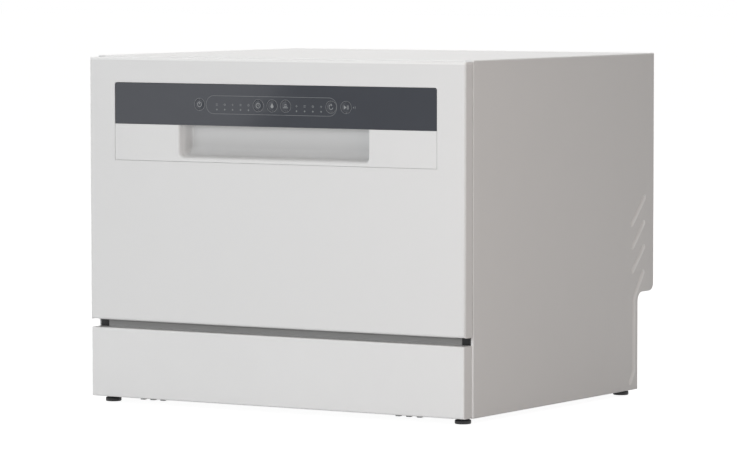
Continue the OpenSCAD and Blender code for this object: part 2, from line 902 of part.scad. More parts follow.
module overfill_float() {
    stop_z = tub_z - sheet - touch - float_travel - 3;
    color([0.90, 0.90, 0.88]) {
        difference() {
            rod_z([float_x, float_y, float_z], 40, float_r);
            rod_z([float_x, float_y, float_z - 1], 38, float_r - 2);
        }
        rod_z([float_x, float_y, stop_z], float_z + 39 - stop_z, float_stem_r);
        // the collar that stops the float at the end of its travel
        rod_z([float_x, float_y, stop_z], 3, float_stem_r + 2);
    }
}

// ---- pumps, heater and water path ----

module circulation_pump() {
    x1 = pump_x + pump_len;
    color([0.22, 0.23, 0.25]) difference() {
        union() {
            rod_x([pump_x, sump_cy, pump_z], pump_len, pump_r);
            rod_x([x1 - eps, sump_cy, pump_z], motor_len, motor_r);
            rod_x([x1 + motor_len - eps, sump_cy, pump_z], 6, motor_r - 12);
            rod_y([pump_port_x, sump_cy, pump_z], pump_r + 6, nipple_r);
        }
        rod_x([pump_x + pump_wall, sump_cy, pump_z], pump_len - 2 * pump_wall, pump_r - pump_wall);
        rod_x([pump_x - 1, sump_cy, pump_z], 6, 9);
        rod_x([x1 - 5, sump_cy, pump_z], 40, shaft_r + run_clear);
        rod_y([pump_port_x, sump_cy, pump_z], pump_r + 10, nipple_bore);
    }
}

// a disc with straight vanes on the side that faces -X
module impeller(r, w, vane_h) {
    rod_x([w, 0, 0], 2, r);
    rod_x([w - vane_h, 0, 0], vane_h, shaft_r + 3);
    for (a = [0 : 60 : 300]) {
        rotate([a, 0, 0]) block([w - vane_h, shaft_r, -1], [w + eps, r - 1, 1]);
    }
}

module pump_impeller() {
    color([0.75, 0.76, 0.78]) translate([pump_x, sump_cy, pump_z]) {
        impeller(pump_r - pump_wall - 4, pump_len - pump_wall - 4, 10);
        rod_x([pump_len - pump_wall - 3, 0, 0], 34, shaft_r);
    }
}

module drain_pump() {
    y1 = drain_y + drain_len;
    color([0.86, 0.87, 0.88]) difference() {
        union() {
            rod_y([drain_x, drain_y, pump_z], drain_len, drain_pump_r);
            rod_y([drain_x, y1 - eps, pump_z], drain_motor_len, drain_pump_r - 4);
            rod_x([drain_x - drain_pump_r - 8, drain_y + 9, pump_z], 20, nipple_r);
        }
        rod_y([drain_x, drain_y + 2, pump_z], drain_len - 4, drain_pump_r - 2);
        rod_y([drain_x, drain_y - 1, pump_z], 5, 7);
        rod_y([drain_x, y1 - 3, pump_z], 25, shaft_r + run_clear);
        rod_x([drain_x - drain_pump_r - 10, drain_y + 9, pump_z], 20, nipple_bore);
    }
}

module drain_impeller() {
    color([0.30, 0.45, 0.70]) translate([drain_x, drain_y, pump_z]) rotate([0, 0, 90]) {
        impeller(drain_pump_r - 6, drain_len - 6, 6);
        rod_x([drain_len - 5, 0, 0], 22, shaft_r);
    }
}

module water_heater() {
    color([0.70, 0.70, 0.72]) difference() {
        union() {
            rod_x([heater_x, heater_y, heater_z], heater_len, heater_r);
            rod_y([heater_port_x, heater_y - heater_r - 6, heater_z], 12, nipple_r);
            rod_y([pump_port_x, heater_y - heater_r - 6, heater_z + 2], 12, nipple_r);
            // terminals
            rod_x([heater_x + heater_len - eps, heater_y, heater_z + 6], 8, 3);
            rod_x([heater_x + heater_len - eps, heater_y, heater_z - 6], 8, 3);
        }
        rod_x([heater_x + 2, heater_y, heater_z], heater_len - 4, heater_r - 2);
        rod_y([heater_port_x, heater_y - heater_r - 8, heater_z], 12, nipple_bore);
        rod_y([pump_port_x, heater_y - heater_r - 8, heater_z + 2], 12, nipple_bore);
    }
}

module inlet_valve() {
    color([0.90, 0.90, 0.89]) difference() {
        union() {
            block([inlet_x - valve_w / 2, notch_y - 2 * sheet - valve_d, inlet_z - 18],
                  [inlet_x + valve_w / 2, cover_y, inlet_z + 14]);
            rod_y([inlet_x, notch_y - 0.1, inlet_z], 3, inlet_r + 3);
            rod_y([inlet_x, notch_y - 4, inlet_z], inlet_len + 4, inlet_r);
            rod_z([valve_port[0], valve_port[1], inlet_z + 13], 12, nipple_r);
        }
        rod_y([inlet_x, notch_y - 10, inlet_z], inlet_len + 20, inlet_r - 4);
        rod_z([valve_port[0], valve_port[1], inlet_z], 30, nipple_bore);
    }
}

module drain_spout() {
    y0 = notch_y - 6;
    color([0.25, 0.26, 0.28]) difference() {
        union() {
            rod_y([spout_x, y0 - 14, spout_z], 15, nipple_r);
            rod_y([spout_x, y0, spout_z], tip_y - y0, spout_r);
            rod_y([spout_x, notch_y - 0.1, spout_z], 3, spout_r + 8);
        }
        rod_y([spout_x, y0 - 15, spout_z], 30, nipple_bore);
        rod_y([spout_x, y0 + 4, spout_z], tip_y - y0, spout_r - 2.5);
    }
}

module cord_gland() {
    color([0.10, 0.10, 0.10]) difference() {
        union() {
            rod_y([gland_x, notch_y - 8, gland_z], 20, 8);
            rod_y([gland_x, notch_y - 0.1, gland_z], 3, 11);
            rod_y([gland_x, cover_y - 3, gland_z], 3, 11);
        }
        rod_y([gland_x, notch_y - 10, gland_z], 30, 4);
    }
}

module air_chamber() {
    y0 = jacket_y0;
    y1 = notch_y - 17;
    color([0.93, 0.93, 0.92]) difference() {
        union() {
            block([jacket_x0, y0, jacket_z], [jacket_x1, y1, jacket_z + jacket_h]);
            rod_z([valve_port[0], valve_port[1], jacket_z - 10], 12, nipple_r);
            rod_z([valve_port[0], jacket_port_y, jacket_z - 10], 12, nipple_r);
        }
        block([jacket_x0 + 2, y0 + 2, jacket_z + 2], [jacket_x1 - 2, y1 - 2, jacket_z + jacket_h - 2]);
        rod_z([valve_port[0], valve_port[1], jacket_z - 20], 30, nipple_bore);
        rod_z([valve_port[0], jacket_port_y, jacket_z - 20], 30, nipple_bore);
    }
}

// the ring that a hose's section fills
module hose_section() {
    difference() {
        circle(hose_r);
        circle(hose_r - hose_t);
    }
}

module hose_y(x, y0, y1, z) {
    translate([x, y0, z]) rotate([-90, 0, 0]) linear_extrude(y1 - y0) hose_section();
}

module hose_x(x0, x1, y, z) {
    translate([x0, y, z]) rotate([0, 90, 0]) linear_extrude(x1 - x0) hose_section();
}

module hose_z(x, y, z0, z1) {
    translate([x, y, z0]) linear_extrude(z1 - z0) hose_section();
}

// a quarter bend whose centre is at p
module elbow(p, turn) {
    translate(p) rotate(turn) rotate_extrude(angle = 90) translate([elbow_r, 0]) hose_section();
}

module inner_hoses() {
    px = pump_port_x;
    vx = valve_port[0];
    jy = jacket_port_y;
    color([0.12, 0.12, 0.13]) {
        // pump to heater, and heater to sump
        hose_y(px, sump_cy + pump_r + 0.5, heater_y - heater_r - 0.5, heater_z + 2);
        hose_y(heater_port_x, sump_cy + sump_r + 3, heater_y - heater_r - 0.5, heater_z);
        // valve to air chamber
        hose_z(vx, valve_port[1], inlet_z + 14 + touch, jacket_z - touch);
        // air chamber down and across to the sump
        hose_z(vx, jy, sump_z + 13 + elbow_r, jacket_z - touch);
        elbow([vx - elbow_r, jy, sump_z + 13 + elbow_r], [-90, 0, 0]);
        hose_x(sump_r * 0.62, vx - elbow_r, jy, sump_z + 13);
        // drain pump across, then back to the drain spout
        hose_x(spout_x + elbow_r, drain_x - drain_pump_r - 0.5, drain_y + 9, pump_z);
        elbow([spout_x + elbow_r, drain_y + 9 + elbow_r, pump_z], [0, 0, 180]);
        hose_y(spout_x, drain_y + 9 + elbow_r, notch_y - 6.5, pump_z);
    }
}

module power_board() {
    color([0.18, 0.45, 0.28]) {
        translate([-hx + 30, sump_cy + 50, tray_z]) {
            cube([4, power_len, power_h]);
            cube([power_w, power_len, 3]);
            for (i = [0 : 3]) {
                translate([power_w / 4, 8 + 20 * i, 2]) cube([18, 12, power_h - 18]);
            }
            for (y = [power_len / 3, power_len * 2 / 3]) {
                rod_z([power_w - 12, y, 2], power_h - 12, 8);
            }
        }
    }
}

module door_lock() {
    y1 = cab_y + lock_d;
    z0 = tub_top + sheet;
    z1 = top_z - 3;
    color([0.14, 0.14, 0.15]) difference() {
        block([-lock_half, cab_y + sheet, z0], [lock_half, y1, z1]);
        block([-lock_room, cab_y, z0 + 2], [lock_room, y1 - 3, z1 + 1]);
        rod_x([-lock_room - 6, lever_y, lever_z], 2 * lock_room + 12, lever_pin_r + run_clear);
    }
}

module latch_lever() {
    color([0.80, 0.80, 0.80]) {
        block([-5, cab_y + 9, lever_z - lever_t / 2], [5, lever_y + 2, lever_z + lever_t / 2]);
        rod_x([-lock_room - 4, lever_y, lever_z], 2 * lock_room + 8, lever_pin_r);
    }
}

// a ring of n points round p, square to the way from p to q
function ring_at(p, q, r, n) =
    let (along = (q - p) / norm(q - p))
    let (side = cross(along, [0, 0, 1]) / norm(cross(along, [0, 0, 1])))
    let (up = cross(side, along))
    [for (i = [0 : n - 1]) p + r * (cos(360 * i / n) * side + sin(360 * i / n) * up)];

// a round wire of n sides swept along points
module wire(points, r, n) {
    last = len(points) - 1;
    ahead = [for (i = [0 : last]) i < last ? points[i + 1] : 2 * points[i] - points[i - 1]];
    rings = [for (i = [0 : last]) ring_at(points[i], ahead[i], r, n)];
    verts = [for (ring = rings) for (v = ring) v];
    sides = [for (i = [0 : last - 1], j = [0 : n - 1], k = [0, 1])
        let (a = i * n + j, b = i * n + (j + 1) % n, c = a + n, d = b + n)
        k == 0 ? [a, b, c] : [b, d, c]];
    near = [for (j = [1 : n - 2]) [0, j + 1, j]];
    far = [for (j = [1 : n - 2]) [last * n, last * n + j, last * n + j + 1]];
    polyhedron(verts, concat(sides, near, far));
}

module door_springs() {
    x = hx - 20;
    y0 = cab_y + 60;
    z = tray_z + 14;
    steps = spring_turns * 10;
    len = spring_turns * spring_pitch;
    coil = [for (i = [0 : steps])
        [spring_r * cos(36 * i), i * len / steps, spring_r * sin(36 * i)]];
    color([0.60, 0.61, 0.63]) both_sides() {
        translate([x, y0, z]) wire(coil, spring_wire, 6);
        // anchor on the tray and pull rod towards the hinge
        block([x - 12, y0 + len + spring_wire, tray_z], [x + 12, y0 + len + spring_wire + 4, z + 10]);
        rod_y([x, cab_y + 30, z], y0 - cab_y - 30 + 20, 2);
        rod_y([x, y0 - spring_wire - 3, z], 3, spring_r + 1.5);
        block([x - 6, cab_y + 30, tray_z], [x + 6, cab_y + 34, z + 5]);
    }
}

// ---- door ----

// the door's outer block, its four front edges rounded
module door_block() {
    intersection() {
        along_x(-door_hw, 2 * door_hw) difference() {
            union() {
                translate([front_y + door_r, door_z])
                    square([door_back - front_y - door_r, door_top - door_z]);
                round_rect([front_y, door_z], [front_y + 4 * door_r, door_top], door_r);
            }
            // the lower back corner is cut back, so that it clears the rail as the door turns
            polygon([[flange_back, door_z - 1], [flange_back, door_z], [door_back, door_z + 3],
                     [door_back + 1, door_z + 3], [door_back + 1, door_z - 1]]);
        }
        translate([0, 0, door_z - 1]) linear_extrude(door_top - door_z + 2) {
            translate([-door_hw, front_y + door_r]) square([2 * door_hw, door_back - front_y - door_r]);
            round_rect([-door_hw, front_y], [door_hw, front_y + 4 * door_r], door_r);
        }
    }
}

module door_panel() {
    t = sheet;
    color([0.85, 0.85, 0.85]) difference() {
        door_block();
        block([-door_hw + t, front_y + t, door_z + t], [door_hw - t, door_back + 1, door_top - t]);
        block([-console_w / 2 - seam, front_y - 1, con_z0 - seam],
              [console_w / 2 + seam, front_y + t + 1, con_z1 + seam]);
        // slots for the hinge brackets
        both_sides() {
            block([brk_x0 - 0.8, hinge_y - 7, door_z - 1],
                  [door_hw - t - eps, door_back + 1, door_z + 5]);
        }
    }
}

module key_hole(i, r, y0, len) {
    rod_y([key_x[i], y0, key_z], len, r);
}

module console_panel() {
    px = pocket_w / 2;
    pz = band_z0 - pocket_h;
    cx = console_w / 2;
    color([0.86, 0.86, 0.86]) difference() {
        union() {
            block([-cx, front_y, con_z0], [cx, con_back, con_z1]);
            block([-cx - 6, front_y + sheet + 0.2, con_z0 - 5], [cx + 6, con_back, con_z1 + 5]);
            along_y(front_y + 1, pocket_d + 1) {
                round_rect([-px - 2, pz - 2], [px + 2, band_z0 + 2], pocket_r + 2);
            }
            // posts for the board
            for (x = [-118, 118], z = [key_z - 14, key_z + 14]) {
                rod_y([x, con_back - eps, z], board_y - con_back + eps, 3);
            }
        }
        along_y(front_y - 1, pocket_d + 1) {
            round_rect([-px, pz], [px, band_z0 + pocket_r], pocket_r);
        }
        block([-cx, front_y - 1, band_z0], [cx, front_y + band_t + 0.2, con_z1 + eps]);
        for (i = [0 : 5]) {
            key_hole(i, key_r + key_gap, front_y, 10);
        }
        block([-cx - 7, con_back - eps, band_z0 + 2], [cx + 7, con_back + eps, con_z1 + 6]);
    }
    // the grip edge that closes the pocket's top, behind the band
    color([0.86, 0.86, 0.86]) {
        block([-px - 1, front_y + band_t + 0.2, band_z0], [px + 1, front_y + pocket_d + 1, band_z0 + 2]);
    }
}

module control_band() {
    color([0.27, 0.28, 0.30]) difference() {
        block([-console_w / 2 + 0.1, front_y, band_z0], [console_w / 2 - 0.1, front_y + band_t, con_z1]);
        for (i = [0 : 5]) {
            key_hole(i, key_r + key_gap, front_y - 1, 10);
        }
    }
}

module key(i) {
    color([0.30, 0.31, 0.33]) {
        key_hole(i, key_r, front_y, console_t + touch + eps);
        key_hole(i, key_r + 1.5, con_back + touch, 1.4);
        key_hole(i, 2.5, con_back + 1, stem_end - con_back - 1);
    }
}

module power_key() {
    key(0);
}

module delay_key() {
    key(1);
}

module dry_key() {
    key(2);
}

module option_key() {
    key(3);
}

module program_key() {
    key(4);
}

module start_key() {
    key(5);
}

module display_board() {
    color([0.16, 0.40, 0.25]) {
        block([-board_half, board_y, key_z - board_rise],
              [board_half, board_y + board_t, key_z + board_rise]);
        // lamps behind the band
        for (x = concat(dots_left, dots_right), dz = [-6, 0]) {
            rod_y([x, con_back + 0.5, key_z + dz], board_y - con_back - 0.5 + eps, 1.4);
        }
        block([-40, board_y + board_t - eps, key_z - 12], [10, board_y + board_t + 3, key_z + 12]);
    }
}

module door_liner() {
    t = sheet;
    lx = door_hw - t - touch;
    color([0.74, 0.75, 0.76]) difference() {
        union() {
            block([-lx, door_back - t, hinge_z - 3.5], [lx, door_back, door_top - t - touch]);
            block([-pan_x, door_back - t, pan_z0], [pan_x, pan_y, pan_z1]);
        }
        block([-pan_x + t, door_back - t - 1, pan_z0 + t], [pan_x - t, pan_y - t, pan_z1 - t]);
        both_sides() {
            block([brk_x0 - 0.8, door_back - 5, hinge_z - 10], [hx, door_back + 1, hinge_z + 12]);
        }
        block([disp_x0 + 8, pan_y - 5, disp_z0 + 6], [disp_x - 8, pan_y + 1, disp_z0 + disp_h - 6]);
        block([-strike_w / 2 - 0.5, door_back - 5, strike_z - strike_t / 2 - 0.5],
              [strike_w / 2 + 0.5, door_back + 1, strike_z + strike_t / 2 + 0.5]);
    }
}

module hinge_arms() {
    color([0.35, 0.35, 0.36]) both_sides() {
        block([arm_x1 - hinge_arm_t, hinge_y - 5, hinge_z - 5],
              [arm_x1, door_back - sheet, hinge_z + 90]);
        rod_x([arm_x1 - eps, hinge_y, hinge_z], brk_x1 - 1.5 - arm_x1, hinge_pin_r);
    }
}

module door_strike() {
    s = strike_t / 2;
    color([0.70, 0.70, 0.72]) difference() {
        union() {
            block([-strike_w / 2 - 8, door_back - sheet - 3, strike_z - s - 6],
                  [strike_w / 2 + 8, door_back - sheet, strike_z + s + 4]);
            block([-strike_w / 2, door_back - sheet - 1, strike_z - s],
                  [strike_w / 2, strike_tip, strike_z + s]);
        }
        block([-strike_w / 2 + 4, strike_tip - 9, strike_z - s - 1],
              [strike_w / 2 - 4, strike_tip - 3, strike_z + s + 1]);
    }
}

module dispenser_body() {
    w = disp_wall;
    y0 = pan_y;
    z1 = disp_z0 + disp_h;
    color([0.55, 0.56, 0.58]) difference() {
        union() {
            block([disp_x0, y0, disp_z0], [disp_x, y0 + disp_t, z1]);
            block([disp_x0 + 9, y0 - cup_d, disp_z0 + 7], [disp_x - 9, y0 + 1, z1 - 7]);
            rod_y([rinse_x, y0 + disp_t - eps, rinse_z], 1, rinse_r + 2);
        }
        // detergent cup, open towards the tub
        block([cup_x0, y0 - cup_d + disp_t + w, cup_z0],
              [cup_x0 + cup_w, y0 + disp_t + 1, cup_z0 + cup_h]);
        // rinse aid tank behind its mouth
        block([cup_x0 + cup_w + w, y0 - cup_d + w, disp_z0 + 9], [disp_x - 11, y0 - 1, z1 - 9]);
        rod_y([rinse_x, y0 - 5, rinse_z], 20, rinse_r - 3);
        // space left of the cup
        block([disp_x0 + 11, y0 - cup_d - 1, disp_z0 + 9], [cup_x0 - w, y0 + 1, z1 - 9]);
    }
}

module dispenser_lid() {
    y0 = pan_y + disp_t + touch;
    color([0.80, 0.81, 0.83]) {
        block([cup_x0 - 3, y0, cup_z0 - 3], [cup_x0 + cup_w + 3, y0 + 3, cup_z0 + cup_h + 3]);
        block([cup_x0 + 4, y0 + 2, cup_z0 + 4], [cup_x0 + 10, y0 + 5, cup_z0 + cup_h - 4]);
    }
}

module rinse_cap() {
    y0 = pan_y + disp_t + 1 + touch;
    color([0.20, 0.35, 0.60]) {
        rod_y([rinse_x, y0, rinse_z], 3, rinse_r);
        rod_y([rinse_x, y0 - 7, rinse_z], 8, rinse_r - 3 - run_clear);
        block([rinse_x - 9, y0 + 2, rinse_z - 1.5], [rinse_x + 9, y0 + 5, rinse_z + 1.5]);
    }
}

// ---- basket ----

module basket_floor() {
    n = floor((2 * basket_x - 20) / wire_pitch);
    color([0.80, 0.81, 0.82]) {
        for (i = [0 : n]) {
            x = -basket_x + (2 * basket_x) * i / n;
            bar_y([x, bas_y0, bas_z], basket_len, wire_r);
        }
        for (j = [0 : cross_wires]) {
            bar_x([-basket_x, bas_y0 + basket_len * j / cross_wires, bas_z], 2 * basket_x, wire_r);
        }
        both_sides() for (y = [roll_y0, roll_y1]) {
            block([axle_x0 - 1, y - 6, roll_z - 5], [axle_x0 + 2.5, y + 6, bas_z + wire_r]);
            rod_x([axle_x0 + 2, y, roll_z], roller_x0 + roller_w + 1 - axle_x0, axle_r);
        }
    }
}

// a flat grille of upright and level wires in a plane along X
module wall_x(x0, x1, y) {
    n = round((x1 - x0) / 38);
    for (i = [0 : n]) {
        bar_z([x0 + (x1 - x0) * i / n, y, wall_z0], bas_top - wall_z0, wall_wire);
    }
    for (z = [wall_z0 + wall_wire, (wall_z0 + bas_top) / 2, bas_top]) {
        bar_x([x0, y, z], x1 - x0, wall_wire);
    }
}

module side_wall(x) {
    for (i = [0 : side_n]) {
        bar_z([x, side_y0 + wall_wire + side_step * i, wall_z0], bas_top - wall_z0, wall_wire);
    }
    for (z = [wall_z0 + wall_wire, (wall_z0 + bas_top) / 2]) {
        bar_y([x, side_y0, z], side_y1 - side_y0, wall_wire);
    }
    // round, because the cup shelf turns on it
    rod_y([x, side_y0, bas_top], side_y1 - side_y0, wall_wire);
}

module basket_walls() {
    color([0.80, 0.81, 0.82]) {
        wall_x(-basket_x, basket_x, bas_y0);
        wall_x(-basket_x, basket_x, bas_y1);
        side_wall(-basket_x);
        side_wall(basket_x);
    }
}

module tine(x, y) {
    z0 = wall_z0;
    z1 = z0 + tine_h - tine_span / 2;
    rod_z([x, y, z0], z1 - z0, tine_r);
    rod_z([x, y + tine_span, z0], z1 - z0, tine_r);
    translate([x, y + tine_span / 2, z1]) rotate([90, 0, 90]) rotate_extrude(angle = 180) {
        translate([tine_span / 2, 0]) circle(tine_r);
    }
}

module plate_tines() {
    color([0.80, 0.81, 0.82]) for (y = tine_rows, i = [0 : tine_count - 1]) {
        tine(tine_x0 + i * tine_pitch, y);
    }
}

module rollers(y) {
    color([0.62, 0.63, 0.65]) both_sides() difference() {
        rod_x([roller_x0, y, roll_z], roller_w, roller_r);
        rod_x([roller_x0 - 1, y, roll_z], roller_w + 2, axle_r + run_clear);
        for (a = [0 : 72 : 288]) {
            translate([0, y, roll_z]) rotate([a, 0, 0]) {
                rod_x([roller_x0 - 1, 0, 6.4], roller_w + 2, 1.4);
            }
        }
    }
}

module front_rollers() {
    rollers(roll_y0);
}

module rear_rollers() {
    rollers(roll_y1);
}

module cutlery_basket() {
    w = 1.5;
    cx = (cutlery_w - 3 * w) / 2;
    cy = (cutlery_len - 4 * w) / 3;
    color([0.60, 0.61, 0.63]) difference() {
        union() {
            block([cut_x0, cut_y0, cut_z0],
                  [cut_x0 + cutlery_w, cut_y0 + cutlery_len, cut_z0 + cutlery_h]);
            block([cut_x0 + cx + w, cut_y0 + 15, cut_z0 + cutlery_h - eps],
                  [cut_x0 + cx + 2 * w, cut_y0 + cutlery_len - 15, cut_z0 + cutlery_h + 12]);
        }
        for (i = [0, 1], j = [0 : 2]) {
            x = cut_x0 + w + i * (cx + w);
            y = cut_y0 + w + j * (cy + w);
            block([x, y, cut_z0 + w], [x + cx, y + cy, cut_z0 + cutlery_h + 13]);
            // drain slots
            for (k = [0 : 2]) {
                block([x + 6, y + 5 + 9 * k, cut_z0 - 1], [x + cx - 6, y + 9 + 9 * k, cut_z0 + w + 1]);
            }
        }
        block([cut_x0 + cx, cut_y0 + 30, cut_z0 + cutlery_h + 3],
              [cut_x0 + cx + 3 * w, cut_y0 + cutlery_len - 30, cut_z0 + cutlery_h + 9]);
    }
}

module cup_shelf() {
    // the sleeves stand midway between two of the wall's uprights
    y0 = side_y0 + wall_wire + side_step * 2.5;
    y1 = side_y0 + wall_wire + side_step * 5.5;
    color([0.62, 0.63, 0.65]) difference() {
        union() {
            for (y = [y0, y1]) {
                rod_y([shelf_x, y - 8, bas_top], 16, wall_wire + 2.5);
                rod_x([shelf_x, y, bas_top], shelf_w, shelf_wire);
            }
            for (i = [1 : 5]) {
                rod_y([shelf_x + shelf_w * i / 5, y0, bas_top], y1 - y0, shelf_wire);
            }
        }
        rod_y([shelf_x, y0 - 20, bas_top], y1 - y0 + 40, wall_wire + run_clear);
    }
}

side_panel_left();
side_panel_right();
top_cover();
rear_cover();
base_tray();
kick_plate();
front_rail();
hinge_brackets();
tub();
door_gasket();
sump();
filter_plate();
spray_manifold();
salt_tank();
circulation_pump();
drain_pump();
water_heater();
inlet_valve();
drain_spout();
air_chamber();
inner_hoses();
door_lock();
power_board();
cord_gland();
door_springs();
case_screws();
foot_front_left();
foot_front_right();
foot_rear_left();
foot_rear_right();
filter_cup();
salt_cap();
spray_arm();
pump_impeller();
drain_impeller();
overfill_float();
latch_lever();
door_panel();
console_panel();
control_band();
display_board();
door_liner();
hinge_arms();
door_strike();
dispenser_body();
power_key();
delay_key();
dry_key();
option_key();
program_key();
start_key();
dispenser_lid();
rinse_cap();
basket_floor();
basket_walls();
plate_tines();
front_rollers();
rear_rollers();
cutlery_basket();
cup_shelf();
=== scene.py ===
"""The looks of a countertop dishwasher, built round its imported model.

Numbers are millimetres in the model's own frame, apart from those of lamps, which are metres and
watts: X runs to the right, the door faces -Y and Z is up. Outlines are lists of (u, v) points,
anticlockwise for a plate's edge and clockwise for a hole in it.
"""
import math

import bmesh
import bpy
from mathutils import Matrix, Vector
from mathutils.geometry import tessellate_polygon

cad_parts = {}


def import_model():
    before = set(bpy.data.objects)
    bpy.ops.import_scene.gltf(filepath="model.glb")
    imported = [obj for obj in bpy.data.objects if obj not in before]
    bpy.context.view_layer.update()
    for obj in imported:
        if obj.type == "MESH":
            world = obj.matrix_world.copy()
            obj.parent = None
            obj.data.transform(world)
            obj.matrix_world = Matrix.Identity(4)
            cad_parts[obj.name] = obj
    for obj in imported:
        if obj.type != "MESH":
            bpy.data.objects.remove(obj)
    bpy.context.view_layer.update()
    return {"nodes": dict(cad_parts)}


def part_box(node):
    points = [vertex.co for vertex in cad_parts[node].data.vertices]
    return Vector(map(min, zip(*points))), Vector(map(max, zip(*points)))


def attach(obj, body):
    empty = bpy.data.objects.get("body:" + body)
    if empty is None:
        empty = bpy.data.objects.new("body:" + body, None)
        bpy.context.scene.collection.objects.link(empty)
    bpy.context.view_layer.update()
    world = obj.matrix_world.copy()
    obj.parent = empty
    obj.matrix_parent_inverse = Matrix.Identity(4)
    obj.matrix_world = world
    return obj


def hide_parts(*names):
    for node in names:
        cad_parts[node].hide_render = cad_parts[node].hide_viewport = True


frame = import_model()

MM = 0.001


def span(node):
    """Lowest and highest corner of a CAD node at rest."""
    low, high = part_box(node)
    return low / MM, high / MM


def middle(node, axis=None):
    """The middle of a CAD node; with an axis, the point at 0 on that axis's line through it."""
    low, high = span(node)
    centre = (low + high) / 2
    if axis:
        setattr(centre, axis, 0)
    return centre


# ---- driving dimensions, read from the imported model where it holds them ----

CASE_LOW, CASE_HIGH = span("side_panel_right")
DOOR_LOW, DOOR_HIGH = span("door_panel")
BAND_LOW, BAND_HIGH = span("control_band")
TUB_LOW, TUB_HIGH = span("tub")
COVER_LOW, COVER_HIGH = span("top_cover")
PAN_LOW, PAN_HIGH = span("door_liner")
BASKET_LOW, BASKET_HIGH = span("basket_walls")

HALF = CASE_HIGH.x                  # half the machine's width
CAB_Y = CASE_LOW.y                  # front plane of the cabinet
FACE_Y = DOOR_LOW.y                 # front plane of the door
RECESS_Y = CASE_HIGH.y - 42.5       # rear plane inside the hose recess
RECESS_Z = 131.5                    # its ceiling
RECESS_CORNER = 10
RECESS_FILLET = 12
SHEET = 1.0

CONSOLE_HALF = BAND_HIGH.x + 0.1
CONSOLE_Z = span("console_panel")[0].z + 5
POCKET_HALF = 137.5                 # half the handle pocket's width
POCKET_Z = BAND_LOW.z - 39          # its lower edge
POCKET_DEPTH = 25
INK_Y = FACE_Y + 0.04               # the prints stand this far inside the door's front plane
BAND_Y = FACE_Y + 0.1

KEYS = ["power", "delay", "dry", "option", "program", "start"]
KEY_AT = {key: middle(f"{key}_key") for key in KEYS}
KEY_R = 6.5
KEY_Z = KEY_AT["power"].z
LAMPS_X = [-81.6, -69.9, -58.2, -46.5, -34.8, 35.4, 47.2, 59.1, 71]

TUB_HALF = HALF - 40
TUB_Z = TUB_LOW.z + SHEET           # the tub's floor, seen from inside
TUB_TOP = COVER_HIGH.z - 26
TUB_BACK = TUB_HIGH.y - SHEET
TUB_CORNER = 16
FLANGE_TOP = 434                    # upper edge of the tub's front flange
SUMP = Vector((0, CAB_Y + 208, 0))
SUMP_R = 74
SLIVER = 0.002                      # radius in which a tapering row ends


# ---- outlines and points ----

def arc(cx, cy, rx, start, stop, steps, ry=None):
    """Points on a circle or an ellipse, both ends included."""
    ry = rx if ry is None else ry
    turns = [math.radians(start + (stop - start) * k / steps) for k in range(steps + 1)]
    return [(cx + rx * math.cos(t), cy + ry * math.sin(t)) for t in turns]


def circle(cx, cy, r, steps):
    """A whole circle, anticlockwise."""
    return arc(cx, cy, r, 0, 360, steps)[:-1]


def hole(cx, cy, r, steps):
    """A whole circle, clockwise."""
    return circle(cx, cy, r, steps)[::-1]


def round_rect(x0, x1, y0, y1, r, steps):
    """A rectangle with round corners, anticlockwise."""
    return (arc(x1 - r, y0 + r, r, -90, 0, steps) + arc(x1 - r, y1 - r, r, 0, 90, steps)
            + arc(x0 + r, y1 - r, r, 90, 180, steps) + arc(x0 + r, y0 + r, r, 180, 270, steps))


def inset(loop, d):
    """A closed outline moved to its left by d: edges shrink inwards and holes grow."""
    if d == 0:
        return list(loop)
    points = [Vector(p) for p in loop]
    out = []
    for i, here in enumerate(points):
        before = (here - points[i - 1]).normalized()
        after = (points[(i + 1) % len(points)] - here).normalized()
        left = Vector((-before.y, before.x)) + Vector((-after.y, after.x))
        out.append(here + left * (d / (1 + before.dot(after))))
    return [tuple(p) for p in out]


def braced(loop, reach=2.5):
    """The outline with a point on each side of its corners, so that shading stays near them."""
    points = [Vector(p) for p in loop]
    out = []
    for i, here in enumerate(points):
        before, after = points[i - 1] - here, points[(i + 1) % len(points)] - here
        if before.length > 3 * reach:
            out.append(here + before.normalized() * reach)
        out.append(here)
        if after.length > 3 * reach:
            out.append(here + after.normalized() * reach)
    return [tuple(p) for p in out]


def bend(points, r, steps=5, closed=False):
    """A line of points with its corners rounded to about radius r."""
    points = [Vector(p) for p in points]
    out = []
    for i, here in enumerate(points):
        if not closed and i in (0, len(points) - 1):
            out.append(here)
            continue
        back = points[i - 1] - here
        ahead = points[(i + 1) % len(points)] - here
        reach = min(r / math.tan(back.angle(ahead) / 2), back.length * 0.49, ahead.length * 0.49)
        first = here + back.normalized() * reach
        last = here + ahead.normalized() * reach
        for k in range(steps + 1):
            t = k / steps
            out.append(first * (1 - t) ** 2 + here * (2 * t * (1 - t)) + last * t ** 2)
    return out


def shifted(path, d):
    """An open line of (u, v) points, moved to its left by d."""
    path = [Vector(p) for p in path]
    out = []
    for i, here in enumerate(path):
        along = (path[min(i + 1, len(path) - 1)] - path[max(i - 1, 0)]).normalized()
        out.append(here + Vector((-along.y, along.x)) * d)
    return out


def stadium(path, r, steps=6):
    """The clockwise outline at distance r round an open line of (u, v) points."""
    path = [Vector(p) for p in path]
    left, right = [[tuple(p) for p in shifted(path, d)] for d in (r, -r)]
    first = math.degrees(math.atan2(*(path[1] - path[0]).yx))
    last = math.degrees(math.atan2(*(path[-1] - path[-2]).yx))
    end = arc(*path[-1], r, last + 90, last - 90, steps)[1:-1]
    start = arc(*path[0], r, first - 90, first - 270, steps)[1:-1]
    return left + end + right[::-1] + start


def quarter(steps):
    """Points of a quarter circle of radius 1: what is left one way and what is done the other."""
    turns = [math.pi / 2 * k / steps for k in range(steps + 1)]
    return [(1 - math.sin(t), 1 - math.cos(t)) for t in turns]


